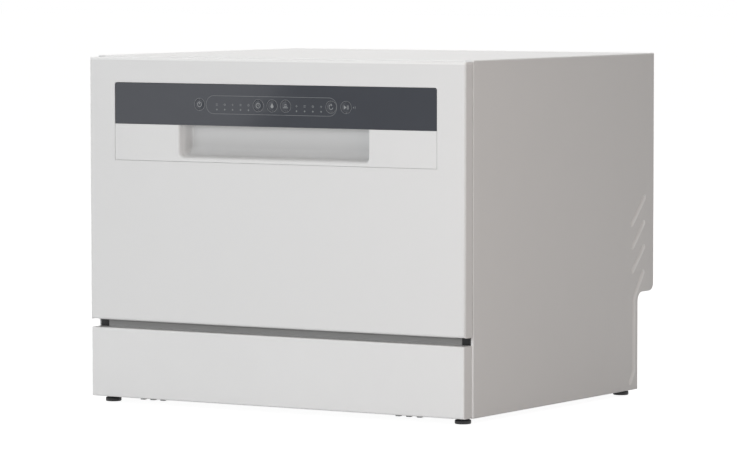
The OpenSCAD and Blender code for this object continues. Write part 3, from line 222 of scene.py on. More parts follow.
def round_about(count):
    """Evenly spaced (cos, sin) pairs of a full turn."""
    turns = [2 * math.pi * k / count for k in range(count)]
    return [(math.cos(t), math.sin(t)) for t in turns]


def disc(start, stop, r, edge, steps=3):
    """Lathe points of a disc with both rims rounded."""
    low = [(start + edge * deep, r - edge * rest) for rest, deep in quarter(steps)]
    high = [(stop - edge * rest, r - edge * deep) for rest, deep in quarter(steps)]
    return low + high


def axes_round(axis):
    """Unit vectors: two across an axis, x, y or z, and the axis itself."""
    unit = [Vector(row) for row in Matrix.Identity(3)]
    k = "xyz".index(axis)
    return unit[k - 2], unit[k - 1], unit[k]


def facing_front(y):
    """Places a plate's points on a plane that faces -Y; depth runs backwards."""
    return lambda u, v, depth: Vector((u, y + depth, v))


def facing_back(y):
    """The same on a plane that faces +Y."""
    return lambda u, v, depth: Vector((u, y - depth, v))


def facing_side(sign, x):
    """The same at the machine's right (sign 1) or left side (-1)."""
    return lambda u, v, depth: Vector((sign * (x - depth), u, v))


def facing_up(z):
    """The same on a plane that faces up."""
    return lambda u, v, depth: Vector((u, v, z - depth))


def rolled(outline, place, edge, steps):
    """Rings of points over the rounded edge of a plate, from its front to its side."""
    return [[place(u, v, edge * deep) for u, v in inset(outline, edge * rest)]
            for rest, deep in (quarter(steps) if edge else [(0, 0)])]


class Shape:
    """Points and faces, gathered before they become one piece."""

    def __init__(self):
        self.points = []
        self.faces = []

    def ring(self, points):
        start = len(self.points)
        self.points.extend(Vector(p) for p in points)
        return list(range(start, len(self.points)))

    def bridge(self, a, b, closed=True):
        count = len(a)
        for i in range(count if closed else count - 1):
            j = (i + 1) % count
            self.faces.append((a[i], a[j], b[j], b[i]))

    def skin(self, rings, closed=True):
        """A skin from each ring of points to the next one; gives the rings' point numbers."""
        rows = [self.ring(ring) for ring in rings]
        for a, b in zip(rows, rows[1:]):
            self.bridge(a, b, closed)
        return rows

    def sheet(self, place, loops, depth=0):
        """A flat sheet: the first outline is its edge and the others are openings."""
        numbers = self.ring(place(u, v, depth) for loop in loops for u, v in loop)
        flat = [[Vector((u, v, 0)) for u, v in loop] for loop in loops]
        self.faces.extend(tuple(numbers[i] for i in face) for face in tessellate_polygon(flat))

    def loft(self, rings):
        """A skin over rings, with closed ends."""
        rows = self.skin(rings)
        self.faces += [tuple(reversed(rows[0])), tuple(rows[-1])]

    def plate(self, outline, holes, place, thick, edge, steps=3):
        """A flat plate whose front edges are rounded to radius edge."""
        loops = [outline, *holes]
        self.sheet(place, [inset(loop, edge) for loop in loops])
        self.sheet(place, loops, thick)
        for loop in loops:
            side = [place(u, v, thick) for u, v in loop]
            self.skin([*rolled(loop, place, edge, steps), side])

    def slab(self, low, high, r, steps=2):
        """A block with rounded edges."""
        low, high = Vector(low), Vector(high)
        r = min(r, min(high - low) * 0.45)
        rings = []
        for end, sign in ((low.z, 1), (high.z, -1)):
            level = []
            for rest, deep in quarter(steps):
                gap = r * rest
                outline = round_rect(low.x + gap, high.x - gap, low.y + gap, high.y - gap,
                                     max(r - gap, r * 0.05), 2)
                level.append([(x, y, end + sign * r * deep) for x, y in outline])
            rings += level if sign > 0 else level[::-1]
        self.loft(rings)

    def tube(self, points, r, sides=10, closed=False):
        """A round tube along points."""
        points = [Vector(p) for p in points]
        count = len(points)
        normal = None
        rings = []
        for i, here in enumerate(points):
            ahead = points[(i + 1) % count] if closed else points[min(i + 1, count - 1)]
            behind = points[i - 1] if closed else points[max(i - 1, 0)]
            along = (ahead - behind).normalized()
            normal = along.orthogonal() if normal is None else normal - along * normal.dot(along)
            normal.normalize()
            across = along.cross(normal)
            rings.append([here + r * (c * normal + s * across) for c, s in round_about(sides)])
        if closed:
            self.skin([*rings, rings[0]])
        else:
            self.loft(rings)

    def lathe(self, profile, centre, axis, sides):
        """Turns (distance, radius) pairs about an axis through centre."""
        u, v, w = axes_round(axis)
        centre = Vector(centre)
        self.loft([[centre + w * d + max(r, 0.001) * (c * u + s * v)
                    for c, s in round_about(sides)] for d, r in profile])

    def pressed(self, place, path, half, depth, steps, start):
        """A soft rib along a path: its rim lies at depth start and its middle at depth."""
        rings = [[place(u, v, start) for u, v in stadium(path, half)]]
        for k in range(1, steps + 1):
            reach = max(half * (1 - k / steps), SLIVER)
            deep = depth * (1 - math.cos(math.pi * k / steps)) / 2
            rings.append([place(u, v, deep) for u, v in stadium(path, reach)])
        self.skin(rings)

    def knurl(self, centre, reach, start, stop, r, count, axis="z"):
        """Fine ribs round a knob, from start to stop along its axis."""
        u, v, w = axes_round(axis)
        for c, s in round_about(count):
            rim = centre + reach * (c * u + s * v)
            self.tube([rim + w * start, rim + w * stop], r, 6)


# ---- materials ----

class Graph:
    """A material's nodes, with its texture space in the row frame's metres."""

    def __init__(self, name):
        self.material = bpy.data.materials.new(name)
        self.material.use_nodes = True
        self.tree = self.material.node_tree
        self.shader = self.tree.nodes["Principled BSDF"]
        self.space = self.add("ShaderNodeTexCoord").outputs["Object"]

    def feed(self, node, inputs):
        """Links sockets to a node's inputs, and sets the inputs that get plain values."""
        for key, value in inputs.items():
            if isinstance(value, bpy.types.NodeSocket):
                self.tree.links.new(value, node.inputs[key])
            else:
                node.inputs[key].default_value = value

    def add(self, kind, inputs=None, **settings):
        node = self.tree.nodes.new(kind)
        for key, value in settings.items():
            setattr(node, key, value)
        self.feed(node, inputs or {})
        return node

    def calc(self, operation, *values):
        """One step of arithmetic."""
        node = self.add("ShaderNodeMath", dict(enumerate(values)), operation=operation)
        return node.outputs[0]

    def noise(self, scale, detail=2, stretch=(1, 1, 1)):
        mapping = self.add("ShaderNodeMapping", {"Vector": self.space, "Scale": stretch})
        return self.add("ShaderNodeTexNoise", {"Vector": mapping.outputs[0], "Scale": scale,
                                               "Detail": detail, "Roughness": 0.5}).outputs[0]

    def remap(self, value, low, high, from_low=0.3, from_high=0.7):
        return self.add("ShaderNodeMapRange", {"Value": value, "From Min": from_low,
                                               "From Max": from_high, "To Min": low,
                                               "To Max": high}).outputs[0]

    def mix(self, factor, a, b):
        return self.add("ShaderNodeMix", {0: factor, 6: a, 7: b}, data_type="RGBA").outputs[2]

    def finish(self, **inputs):
        """Feeds the main shader; underscores stand for the spaces in its inputs' names."""
        self.feed(self.shader, {key.replace("_", " "): value for key, value in inputs.items()})

    def bump(self, height, strength, distance):
        node = self.add("ShaderNodeBump", {"Height": height, "Strength": strength,
                                           "Distance": distance * MM})
        self.finish(Normal=node.outputs[0])

    def end_with(self, shader):
        """Puts another shader in the place of the main one."""
        self.feed(self.tree.nodes["Material Output"], {"Surface": shader.outputs[0]})


def shade(color, factor=1):
    return tuple(c * factor for c in color) + (1,)


def surface(name, color, rough, metal=0, spread=0.02, grain=900, bump=0.05, depth=0.05,
            stretch=(1, 1, 1), rough_spread=0.05, coat=0):
    """A finish with fine grain, and with colour and gloss that vary a little over it."""
    g = Graph(name)
    fine = g.noise(grain, 3, stretch)
    broad = g.noise(14, 3)
    tone = g.mix(g.remap(broad, 0, 1), shade(color, 1 - spread), shade(color, 1 + spread))
    clouds = g.calc("ADD", g.remap(fine, 0, 0.5), g.remap(broad, 0, 0.5))
    g.finish(Base_Color=tone, Metallic=metal, Specular_IOR_Level=0.5,
             Roughness=g.remap(clouds, rough - rough_spread, rough + rough_spread, 0, 1),
             Coat_Weight=coat, Coat_Roughness=0.15)
    g.bump(fine, bump, depth)
    return g.material


def galvanised(name, color):
    """Zinc with the faint spangle of its crystals."""
    g = Graph(name)
    cells = g.add("ShaderNodeTexVoronoi", {"Vector": g.space, "Scale": 95, "Randomness": 1})
    tone = g.add("ShaderNodeSeparateColor", {"Color": cells.outputs["Color"]}).outputs[0]
    g.finish(Base_Color=g.mix(tone, shade(color, 0.93), shade(color, 1.06)), Metallic=0.75,
             Roughness=g.remap(tone, 0.38, 0.52, 0, 1))
    g.bump(g.noise(700), 0.04, 0.05)
    return g.material


def perforated(name, color, pitch, pit_size):
    """Sheet steel with rows of fine round holes, drawn as pits with painted shade in them."""
    g = Graph(name)
    scaled = g.add("ShaderNodeVectorMath", {0: g.space, 3: 1 / (pitch * MM)}, operation="SCALE")
    parts = g.add("ShaderNodeSeparateXYZ", {0: scaled.outputs[0]})
    squares = []
    for k in (0, 1):
        centred = g.calc("SUBTRACT", g.calc("FRACT", parts.outputs[k]), 0.5)
        squares.append(g.calc("POWER", centred, 2))
    away = g.calc("POWER", g.calc("ADD", *squares), 0.5)
    pit = g.remap(away, 0, 1, pit_size / pitch * 0.42, pit_size / pitch * 0.58)
    # near-black in the pits: painted shade where the holes would show the dark below
    g.finish(Base_Color=g.mix(pit, (0.015, 0.015, 0.015, 1), shade(color)),
             Roughness=g.remap(g.noise(400), 0.25, 0.4), Metallic=g.remap(pit, 0.2, 1, 0, 1))
    g.bump(pit, 0.6, 0.2)
    return g.material


def circuit(name, color):
    """Solder resist with paler copper traces under it."""
    g = Graph(name)
    lines = g.add("ShaderNodeTexBrick", {"Vector": g.space, "Scale": 60, "Mortar Size": 0.03,
                                         "Color1": shade(color, 0.9), "Color2": shade(color, 1.15),
                                         "Mortar": shade(color, 1.9)})
    g.finish(Base_Color=lines.outputs["Color"], Roughness=g.remap(g.noise(300), 0.3, 0.42))
    g.bump(lines.outputs["Fac"], 0.3, 0.05)
    return g.material


def plastic_with_painted_shade(name, color, dimmed):
    """White plastic with painted shade: darker towards the pocket's back and low on it, and a
    painted highlight that makes it paler at its foot.
    """
    g = Graph(name)
    parts = g.add("ShaderNodeSeparateXYZ", {0: g.space})
    # painted shade: the colour darkens towards the pocket's back wall
    back = g.remap(parts.outputs[1], 0, 1, (FACE_Y + 9) * MM, (FACE_Y + POCKET_DEPTH - 2) * MM)
    z = parts.outputs[2]
    highlight_gain = 1.3
    # painted shade low on the back wall, and below it a painted highlight that makes the foot
    # paler
    rise = g.remap(z, 0.84, 1, (POCKET_Z + 12) * MM, (POCKET_Z + 30) * MM)
    painted_foot_highlight = g.remap(z, highlight_gain, 1, (POCKET_Z + 1) * MM, (POCKET_Z + 12) * MM)
    factor = g.calc("DIVIDE", g.calc("MULTIPLY", rise, painted_foot_highlight), highlight_gain)
    tone = g.mix(factor, (0, 0, 0, 1), shade(color, highlight_gain * dimmed))
    fine = g.noise(1500, 3)
    g.finish(Base_Color=g.mix(back, shade(color), tone), Roughness=g.remap(fine, 0.36, 0.46))
    g.bump(fine, 0.08, 0.02)
    return g.material


def painted_rim_highlight(name, color, highlight_color, axis, inside, outside):
    """Powder coat with a painted highlight: a little brighter past a plane, on a rounded edge."""
    g = Graph(name)
    along = g.add("ShaderNodeSeparateXYZ", {0: g.space}).outputs[axis]
    # mask of the painted highlight across the rounded edge
    edge = g.remap(along, 0, 1, inside * MM, outside * MM)
    fine = g.noise(620, 3)
    g.finish(Base_Color=g.mix(edge, shade(color), shade(highlight_color)),
             Roughness=g.remap(fine, 0.38, 0.46))
    g.bump(fine, 0.10, 0.04)
    return g.material


WHITE = (0.79, 0.79, 0.79)
# paler white for painted highlights on rounded edges
RIM_HIGHLIGHT_WHITE = (0.88, 0.88, 0.88)
COATED = {"spread": 0.008, "grain": 620, "bump": 0.10, "depth": 0.04}
MOULDED = {"spread": 0.008, "grain": 1500, "bump": 0.08, "depth": 0.02}

powder = surface("powder_coat", WHITE, 0.42, **COATED)
# paler paint on the beads: a painted highlight on their walls, where the front lamps catch them
bead_painted_highlight = surface("bead_painted_highlight", (0.92, 0.92, 0.92), 0.42, **COATED)
# painted highlights on the door's top edge and on the cover's front edge
door_paint_rim_highlight = painted_rim_highlight("door_coat_rim_highlight", WHITE, RIM_HIGHLIGHT_WHITE, 2, DOOR_HIGH.z - 3.6, DOOR_HIGH.z - 2.4)
cover_paint_rim_highlight = painted_rim_highlight("cover_coat_rim_highlight", WHITE, RIM_HIGHLIGHT_WHITE, 1, COVER_LOW.y + 2.4, COVER_LOW.y + 1.2)
moulded = surface("moulded_white", WHITE, 0.4, **MOULDED)
kick_plastic = surface("moulded_kick", (0.815, 0.815, 0.815), 0.4, **MOULDED)
# the pocket's inside: painted shade towards its back and low down, painted highlight at its foot
pocket_painted_shade = plastic_with_painted_shade("pocket_painted_shade", WHITE, 0.76)
overlay = surface("band_overlay", (0.063, 0.068, 0.081), 0.06, spread=0.04, grain=2200, bump=0.01,
                  depth=0.002, rough_spread=0.015)
ink = surface("pale_ink", (0.19, 0.20, 0.21), 0.45, grain=3000)
ink_bright = surface("bright_ink", (0.30, 0.31, 0.32), 0.4, grain=3000)
lamp_off = surface("lamp_window", (0.22, 0.235, 0.24), 0.25, grain=3000)
zinc = galvanised("zinc", (0.60, 0.61, 0.62))
steel = surface("brushed_steel", (0.62, 0.625, 0.63), 0.30, metal=1, spread=0.03, grain=260,
                bump=0.06, depth=0.03, stretch=(0.05, 4, 4), rough_spread=0.06)
rail_paint = surface("rail_paint", (0.284, 0.282, 0.279), 0.55, grain=800)
black_paint = surface("black_paint", (0.012, 0.012, 0.013), 0.5, grain=900, bump=0.1)
tray_plastic = surface("tray_plastic", (0.27, 0.275, 0.28), 0.5, spread=0.04, grain=1100,
                       bump=0.12)
basket_plastic = surface("basket_plastic", (0.30, 0.31, 0.32), 0.38, spread=0.03, grain=1300,
                         bump=0.06)
black_plastic = surface("black_plastic", (0.022, 0.022, 0.024), 0.5, spread=0.1, grain=1300,
                        bump=0.12)
natural_plastic = surface("natural_plastic", (0.72, 0.72, 0.70), 0.42, spread=0.03, grain=1000)
blue_plastic = surface("blue_plastic", (0.035, 0.12, 0.36), 0.28, spread=0.05, grain=1400)
lid_plastic = surface("lid_plastic", (0.50, 0.51, 0.53), 0.25, spread=0.02, grain=1600, coat=0.3)
rubber = surface("seal_rubber", (0.035, 0.035, 0.037), 0.7, spread=0.12, grain=1700, bump=0.2)
coated_wire = surface("coated_wire", (0.40, 0.41, 0.42), 0.3, spread=0.05, grain=1500, coat=0.4)
filter_mesh = perforated("filter_mesh", (0.55, 0.56, 0.57), 2.4, 1.3)
board = circuit("board_green", (0.02, 0.14, 0.06))


# ---- pieces ----

MERGE = 0.002                       # points nearer to each other than this become one
CREASE = math.radians(38)           # an edge sharper than this stays sharp
BEVEL_FROM = math.radians(40)       # an edge sharper than this is rounded


def piece(name, shape, body, look, replaces=(), thick=0):
    """Turns a shape into an object that rides on a CAD body.

    thick gives a bare skin its wall: inwards when positive, outwards when negative.
    """
    mesh = bpy.data.meshes.new(name)
    mesh.from_pydata([p * MM for p in shape.points], [], shape.faces)
    work = bmesh.new()
    work.from_mesh(mesh)
    bmesh.ops.remove_doubles(work, verts=work.verts, dist=MERGE * MM)
    bmesh.ops.recalc_face_normals(work, faces=work.faces)
    work.to_mesh(mesh)
    work.free()
    mesh.materials.append(look)
    mesh.shade_smooth()
    mesh.set_sharp_from_angle(angle=CREASE)
    obj = bpy.data.objects.new(name, mesh)
    bpy.context.scene.collection.objects.link(obj)
    if thick:
        shell = obj.modifiers.new("thickness", "SOLIDIFY")
        shell.thickness = abs(thick) * MM
        shell.offset = -1 if thick > 0 else 1
    even = obj.modifiers.new("even", "WEIGHTED_NORMAL")
    even.keep_sharp = True
    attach(obj, body)
    if replaces:
        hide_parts(*replaces)
    return obj


def dress(node, look, edge):
    """Gives a CAD node its finish and rounds its sharp edges."""
    obj = frame["nodes"][node]
    for slot in obj.material_slots:
        slot.material = look
    weld = obj.modifiers.new("weld", "WELD")
    weld.merge_threshold = 0.001 * MM
    if edge:
        bevel = obj.modifiers.new("edge", "BEVEL")
        bevel.width = edge * MM
        bevel.segments = 2
        bevel.limit_method = "ANGLE"
        bevel.angle_limit = BEVEL_FROM
        bevel.harden_normals = True


# ---- casing ----

EDGE = 1.9                          # radius of the side panels' folded edges
LONG_FOLD, SHORT_FOLD = 11.5, 2.9   # how far those edges run inwards
SHORT_BELOW = 129                   # the front edge is short below this, beside the hinges
BEAD_HALF = 3.9                     # half a pressed bead's width
BEAD_D = 2.1                        # its depth
BEAD_SHIFT = 1.6                    # the trough's floor lies nearer to its front edge
# from a bead's rim to its floor: the share of its half width, and of its depth, that is done
BEAD_WALL = ((0.06, 0.01), (0.14, 0.07), (0.5, 0.5), (0.86, 0.93), (0.94, 0.99), (1, 1))
UPRIGHT_Y = RECESS_Y - 12           # the long bead's upright stretch
SLANT = Vector((math.cos(math.radians(44)), math.sin(math.radians(44))))
SLANT_LOW, SLANT_PITCH = 158.5, 31  # height where the slanting beads' lines begin
SLANTS = [(2.5, 42), (2.5, 42), (0, 47)]    # start along its line, and length, of each


def case_outline():
    """A side panel's outline as (Y, Z), anticlockwise seen from the right."""
    front, rear = CASE_LOW.y, CASE_HIGH.y
    low, high = CASE_LOW.z, CASE_HIGH.z + EDGE      # the top fold ends up inside the cover
    fillet = arc(RECESS_Y + RECESS_FILLET, RECESS_Z - RECESS_FILLET, RECESS_FILLET, 180, 90, 6)
    corner = arc(rear - RECESS_CORNER, RECESS_Z + RECESS_CORNER, RECESS_CORNER, -90, 0, 6)
    return braced([(front, low), (RECESS_Y, low), *fillet, *corner, (rear, high), (front, high)])


def bead_paths():
    """The middles of the pressed beads: a long one along the recess and slanting ones above it."""
    y, low = UPRIGHT_Y, CASE_LOW.z
    long_bead = [(y - 9, low + 10.5), (y, low + 23), (y, RECESS_Z - 9), (y + 5, RECESS_Z),
                 (y + 25, RECESS_Z + 25)]
    paths = [bend(long_bead, 14)]
    for i, (start, length) in enumerate(SLANTS):
        low_end = Vector((y - 5.4, SLANT_LOW + SLANT_PITCH * i))
        paths.append([low_end + SLANT * (start + length * k / 6) for k in range(7)])
    return paths


def side_panel(side, sign):
    """A folded sheet with its pressed beads, which carry a painted highlight in paler paint."""
    shape = Shape()
    place = facing_side(sign, HALF - 0.1)
    outline = case_outline()
    paths = bead_paths()
    rims = [stadium(path, BEAD_HALF) for path in paths]
    shape.sheet(place, [inset(outline, EDGE), *rims])
    fold = []
    for y, z in outline:
        short = z < CASE_LOW.z + 1 or (y < CAB_Y + 1 and z < SHORT_BELOW)
        fold.append(place(y, z, SHORT_FOLD if short else LONG_FOLD))
    shape.skin([*rolled(outline, place, EDGE, 4), fold])
    node = f"side_panel_{side}"
    piece(node + "_shell", shape, "root", powder, [node], thick=SHEET)

    shape = Shape()
    for path, rim in zip(paths, rims):
        rings = [[place(u, v, 0) for u, v in rim]]
        for part, deep in BEAD_WALL:
            floor = shifted(path, BEAD_SHIFT * part)
            wall = stadium(floor, max(BEAD_HALF * (1 - part), SLIVER))
            rings.append([place(u, v, BEAD_D * deep) for u, v in wall])
        shape.skin(rings)
    # the beads get the paler paint: painted highlight
    piece(node + "_beads", shape, "root", bead_painted_highlight)


def top_cover():
    """A flat lid with rolled edges, and the fold behind its front edge."""
    shape = Shape()
    thick = COVER_HIGH.z - CASE_HIGH.z
    outline = round_rect(-HALF, HALF, COVER_LOW.y, COVER_HIGH.y, 1.6, 3)
    shape.plate(outline, [], facing_up(COVER_HIGH.z), thick, edge=min(thick, 2) - 0.05, steps=4)
    shape.slab((-HALF + 13, CAB_Y + 0.1, FLANGE_TOP + 0.4),
               (HALF - 13, CAB_Y + 1, CASE_HIGH.z + 0.1), 0.2)
    # the cover's front edge carries a painted highlight
    piece("top_cover_sheet", shape, "root", cover_paint_rim_highlight, ["top_cover"])


def rear_ribs():
    """Upright ribs pressed into the rear cover."""
    shape = Shape()
    place = facing_back(span("rear_cover")[1].y)
    for i in range(-3, 4):
        path = [(i * 68, z) for z in range(190, 391, 40)]
        shape.pressed(place, path, 7, -0.95, 5, 0.05)
    piece("rear_cover_ribs", shape, "root", zinc)


def foot(name):
    """A grooved pad on a stem."""
    top = span(name)[1].z
    centre = middle(name, "z")
    shape = Shape()
    shape.lathe(disc(0, 5, 10, 1.2), centre, "z", 36)
    shape.lathe([(4.8, 8), (7.2, 8), (7.6, 7.4), (7.7, 4.2), (top - 0.6, 4), (top, 3.2)], centre,
                "z", 28)
    shape.knurl(centre, 9.7, 1, 4, 0.28, 18)
    piece(name + "_body", shape, name, black_plastic, [name])


def connectors():
    """Threaded water inlet, barbed drain spout and cord gland in the hose recess."""
    face = RECESS_Y
    flange = face + 2.9
    low, high = span("inlet_valve")
    x, z = (low.x + high.x) / 2, low.z + 18
    shape = Shape()
    body_top = 84
    shape.slab((low.x, low.y, low.z), (high.x, face - 2.2, body_top), 1.5)
    shape.lathe([(face - 3, 9), (face - 3, 16.2), (face + 2.3, 16.2), (flange, 15.6),
                 (flange, 12.3), (high.y - 0.6, 12.3), (high.y, 11.7), (high.y, 9.2),
                 (face - 3, 9.2)], (x, 0, z), "y", 48)
    pitch, steps, r = 1.814, 36, 12.6
    start, stop = face + 4.5, high.y - 1.2
    turns = [k / steps for k in range(int((stop - start) / pitch * steps) + 1)]
    thread = [(x + r * math.cos(2 * math.pi * t), start + pitch * t,
               z + r * math.sin(2 * math.pi * t)) for t in turns]
    shape.tube(thread, 0.58, 6)
    piece("inlet_valve_body", shape, "root", natural_plastic, ["inlet_valve"])

    low, high = span("drain_spout")
    shape = Shape()
    profile = [(low.y, 5), (low.y, 6.7), (face - 6, 6.7), (face - 5.5, 10.4), (face - 0.1, 10.4),
               (face, 19), (face + 2.4, 19), (flange, 18.4), (flange, 9.8)]
    step = 8.5
    barb = face + 12
    while barb + step < high.y + 0.1:
        profile += [(barb, 9.8), (barb + 0.3, 11), (barb + step - 1, 9.8)]
        barb += step
    profile += [(high.y - 0.5, 9.6), (high.y, 9.2), (high.y, 8.5), (low.y + 18, 8.5),
                (low.y + 17, 5), (low.y, 5)]
    shape.lathe(profile, middle("drain_spout", "y"), "y", 40)
    piece("drain_spout_barbed", shape, "root", black_plastic, ["drain_spout"])

    low, high = span("cord_gland")
    shape = Shape()
    shape.lathe([(low.y, 4.2), (low.y, 7.5), (face - 2.3, 7.5), (face, 8), (face, 10.6),
                 (face + 0.4, 11), (face + 2.5, 11), (flange, 10.6), (flange, 7.4),
                 (face + 5, 7.2), (face + 5.2, 6.4), (face + 6.2, 6.4), (face + 6.4, 7),
                 (face + 8.4, 6.8), (face + 8.6, 6), (face + 9.6, 6), (face + 9.8, 6.6),
                 (high.y, 6.2), (high.y, 4.2), (low.y, 4.2)], middle("cord_gland", "y"), "y", 32)
    piece("cord_gland_ribbed", shape, "root", black_plastic, ["cord_gland"])


def kick_plate():
    """A moulding with rounded front edges."""
    low, high = span("kick_plate")
    shape = Shape()
    outline = braced([(low.x, low.z), (high.x, low.z), (high.x, high.z), (low.x, high.z)])
    rear = [(u, CAB_Y - 0.1, v) for u, v in outline]
    rows = shape.skin([*rolled(outline, facing_front(FACE_Y), 2.0, 4), rear])
    shape.faces.append(tuple(rows[0]))
    piece("kick_plate_moulding", shape, "root", kick_plastic, ["kick_plate"],
          thick=1.5)


# ---- door front ----

def door_trim():
    """Closes the door's opening up to the insert, round its two upper corners."""
    shape = Shape()
    gap, beyond, r = 0.36, 0.65, 3.2    # seam, reach of the door's own opening, corner radius
    out, low, high = CONSOLE_HALF + beyond, CONSOLE_Z - beyond, BAND_HIGH.z + beyond
    right, top, bottom = CONSOLE_HALF + gap, BAND_HIGH.z + gap, CONSOLE_Z - gap
    left = right + 0.2              # the seam is widest at the left
    opening = [(-left, bottom), (-left, top - r), *arc(-left + r, top - r, r, 180, 90, 5),
               *arc(right - r, top - r, r, 90, 0, 5), (right, top - r), (right, bottom)]
    shape.plate([(-out, low), (out, low), (out, high), (-out, high)], [opening],
                facing_front(FACE_Y + 0.01), 1.4, edge=0)
    piece("door_trim", shape, "door", powder)


def pocket_ring(grow, lip, y, top):
    """The pocket's outline at depth y: grow widens it sideways and lip drops its lower edge."""
    half, low = POCKET_HALF + grow, POCKET_Z - lip
    rx, ry = max(5 + grow, 1), max(5 + lip, 1)
    left = arc(-half + rx, low + ry, rx, 180, 270, 5, ry)
    right = arc(half - rx, low + ry, rx, 270, 360, 5, ry)
    return [(x, y, z) for x, z in [(-half, top), *left, *right, (half, top)]]


def key_holes(steps):
    """The round openings for the keys."""
    return [hole(KEY_AT[key].x, KEY_AT[key].z, KEY_R + 0.3, steps) for key in KEYS]


def console():
    """The white insert with its handle pocket, and the wall behind the dark band."""
    shape = Shape()
    low, high = CONSOLE_Z, BAND_LOW.z - 0.15
    soft, lip, soft_depth = 3.2, 5.0, 8.0       # rounding at the pocket's sides and lower lip
    side, floor, bend_depth = 4, 12, 14         # rounding into the pocket's back wall
    wall = FACE_Y + POCKET_DEPTH
    mouth = [(x, z) for x, y, z in pocket_ring(soft, lip, 0, high)]
    outline = [(-CONSOLE_HALF, low), (CONSOLE_HALF, low), (CONSOLE_HALF, high), *mouth[::-1],
               (-CONSOLE_HALF, high)]
    shape.sheet(facing_front(FACE_Y), [outline])
    edge = [(CONSOLE_HALF, high), (CONSOLE_HALF, low), (-CONSOLE_HALF, low), (-CONSOLE_HALF, high)]
    shape.skin([[(x, y, z) for x, z in edge] for y in (FACE_Y, FACE_Y + 4)], closed=False)
    front = [pocket_ring(soft * rest, lip * rest, FACE_Y + soft_depth * deep, high)
             for rest, deep in quarter(5)]
    back = [pocket_ring(-0.8 - side * deep, -0.8 - floor * deep, wall - bend_depth * rest, high)
            for rest, deep in quarter(6)]
    shape.skin(front, closed=False)
    piece("console_front", shape, "door", moulded, ["console_panel"])

    shape = Shape()
    rows = shape.skin([front[-1], *back], closed=False)
    shape.faces.append(tuple(rows[-1]))
    # the pocket's inside carries painted shade and, at its foot, a painted highlight
    piece("console_pocket", shape, "door", pocket_painted_shade)

    # wall behind the band, with the ceiling of the pocket as its lower edge
    shape = Shape()
    outline = round_rect(-CONSOLE_HALF, CONSOLE_HALF, high + 0.05, BAND_HIGH.z, 0.5, 2)
    shape.plate(outline, key_holes(28), facing_front(BAND_HIGH.y + 0.2), 2, edge=0)
    shape.slab((-POCKET_HALF - 1, BAND_HIGH.y + 0.2, high + 0.05),
               (POCKET_HALF + 1, wall + 1, high + 2), 0.3)
    piece("console_back", shape, "door", moulded)


def band():
    """The dark glossy overlay with its round openings for the keys."""
    shape = Shape()
    r = 3.0
    x0, x1, z0, z1 = BAND_LOW.x, BAND_HIGH.x, BAND_LOW.z, BAND_HIGH.z
    outline = [(x0, z0), (x1, z0), *arc(x1 - r, z1 - r, r, 0, 90, 5),
               *arc(x0 + r, z1 - r, r, 90, 180, 5)]
    shape.plate(outline, key_holes(40), facing_front(BAND_Y), 1.9, edge=0.25)
    piece("band_face", shape, "door", overlay, ["control_band"])


def ink_plate(shape, outline, holes=()):
    shape.plate(outline, holes, facing_front(INK_Y), 0.05, edge=0)


def ink_ring(shape, x, z, r, width):
    ink_plate(shape, circle(x, z, r + width / 2, 36), [hole(x, z, r - width / 2, 36)])


def ink_line(shape, path, width):
    ink_plate(shape, stadium(path, width / 2, 3)[::-1])


def band_prints():
    """Thin pale outlines, marks and lamp windows on the band."""
    shape, windows = Shape(), Shape()
    outer = round_rect(-97.7, 93.9, KEY_Z - 11.4, KEY_Z + 11.4, 11.3, 10)
    ink_plate(shape, outer, [inset(outer, 0.5)[::-1]])
    for key in KEYS:
        ink_ring(shape, KEY_AT[key].x, KEY_Z, KEY_R + 1.1, 0.45)
    for i, x in enumerate(LAMPS_X):
        # a small mark over each lamp: bars, rings and crosses by turns
        z = KEY_Z + 0.2
        if i % 3 == 0:
            for v in (-0.8, 0.8):
                ink_line(shape, [(x - 1.2, z + v), (x + 1.2, z + v)], 0.7)
        elif i % 3 == 1:
            ink_ring(shape, x, z, 1.1, 0.7)
        else:
            ink_line(shape, [(x, z - 1.1), (x, z + 1.1)], 0.8)
            ink_line(shape, [(x - 1.1, z), (x + 1.1, z)], 0.8)
        ink_plate(windows, circle(x, KEY_Z - 5.9, 1.05, 20))
    # beam mark beside the start key
    x = 117.7
    ink_plate(shape, circle(x, KEY_Z, 0.9, 16))
    ink_line(shape, [(x + 2.2, KEY_Z - 1.4), (x + 2.8, KEY_Z), (x + 2.2, KEY_Z + 1.4)], 0.5)
    piece("band_outlines", shape, "door", ink)
    piece("lamp_windows", windows, "door", lamp_off)


# marks on the keys, round their middles: filled shapes, and rings and lines with their widths
FILLED = {"dry": [(0, 3.4), *arc(0, -0.8, 2.1, 150, 390, 12)],
          "start": [(-3.1, 2.6), (-3.1, -2.6), (0.6, 0)]}
RINGS = {"delay": (3.0, 0.7)}
STROKES = {
    "power": [(arc(0, 0, 2.9, 120, 420, 14), 0.75), ([(0, 0.4), (0, 3.5)], 0.75)],
    "delay": [([(0, 2.0), (0, 0), (1.4, -0.9)], 0.6)],
    "dry": [],
    "option": [([(-3.2, -2), (3.2, -2)], 0.8), ([(-2.1, 0), (2.1, 0)], 0.8),
               ([(-1.0, 2), (1.0, 2)], 0.8)],
    "program": [(arc(0, 0, 2.8, 60, 340, 14), 0.7), ([(0.2, 3.9), (1.6, 2.4), (-0.2, 1.3)], 0.6)],
    "start": [([(1.7, -2.2), (1.7, 2.2)], 0.7), ([(3.2, -2.2), (3.2, 2.2)], 0.7)],
}


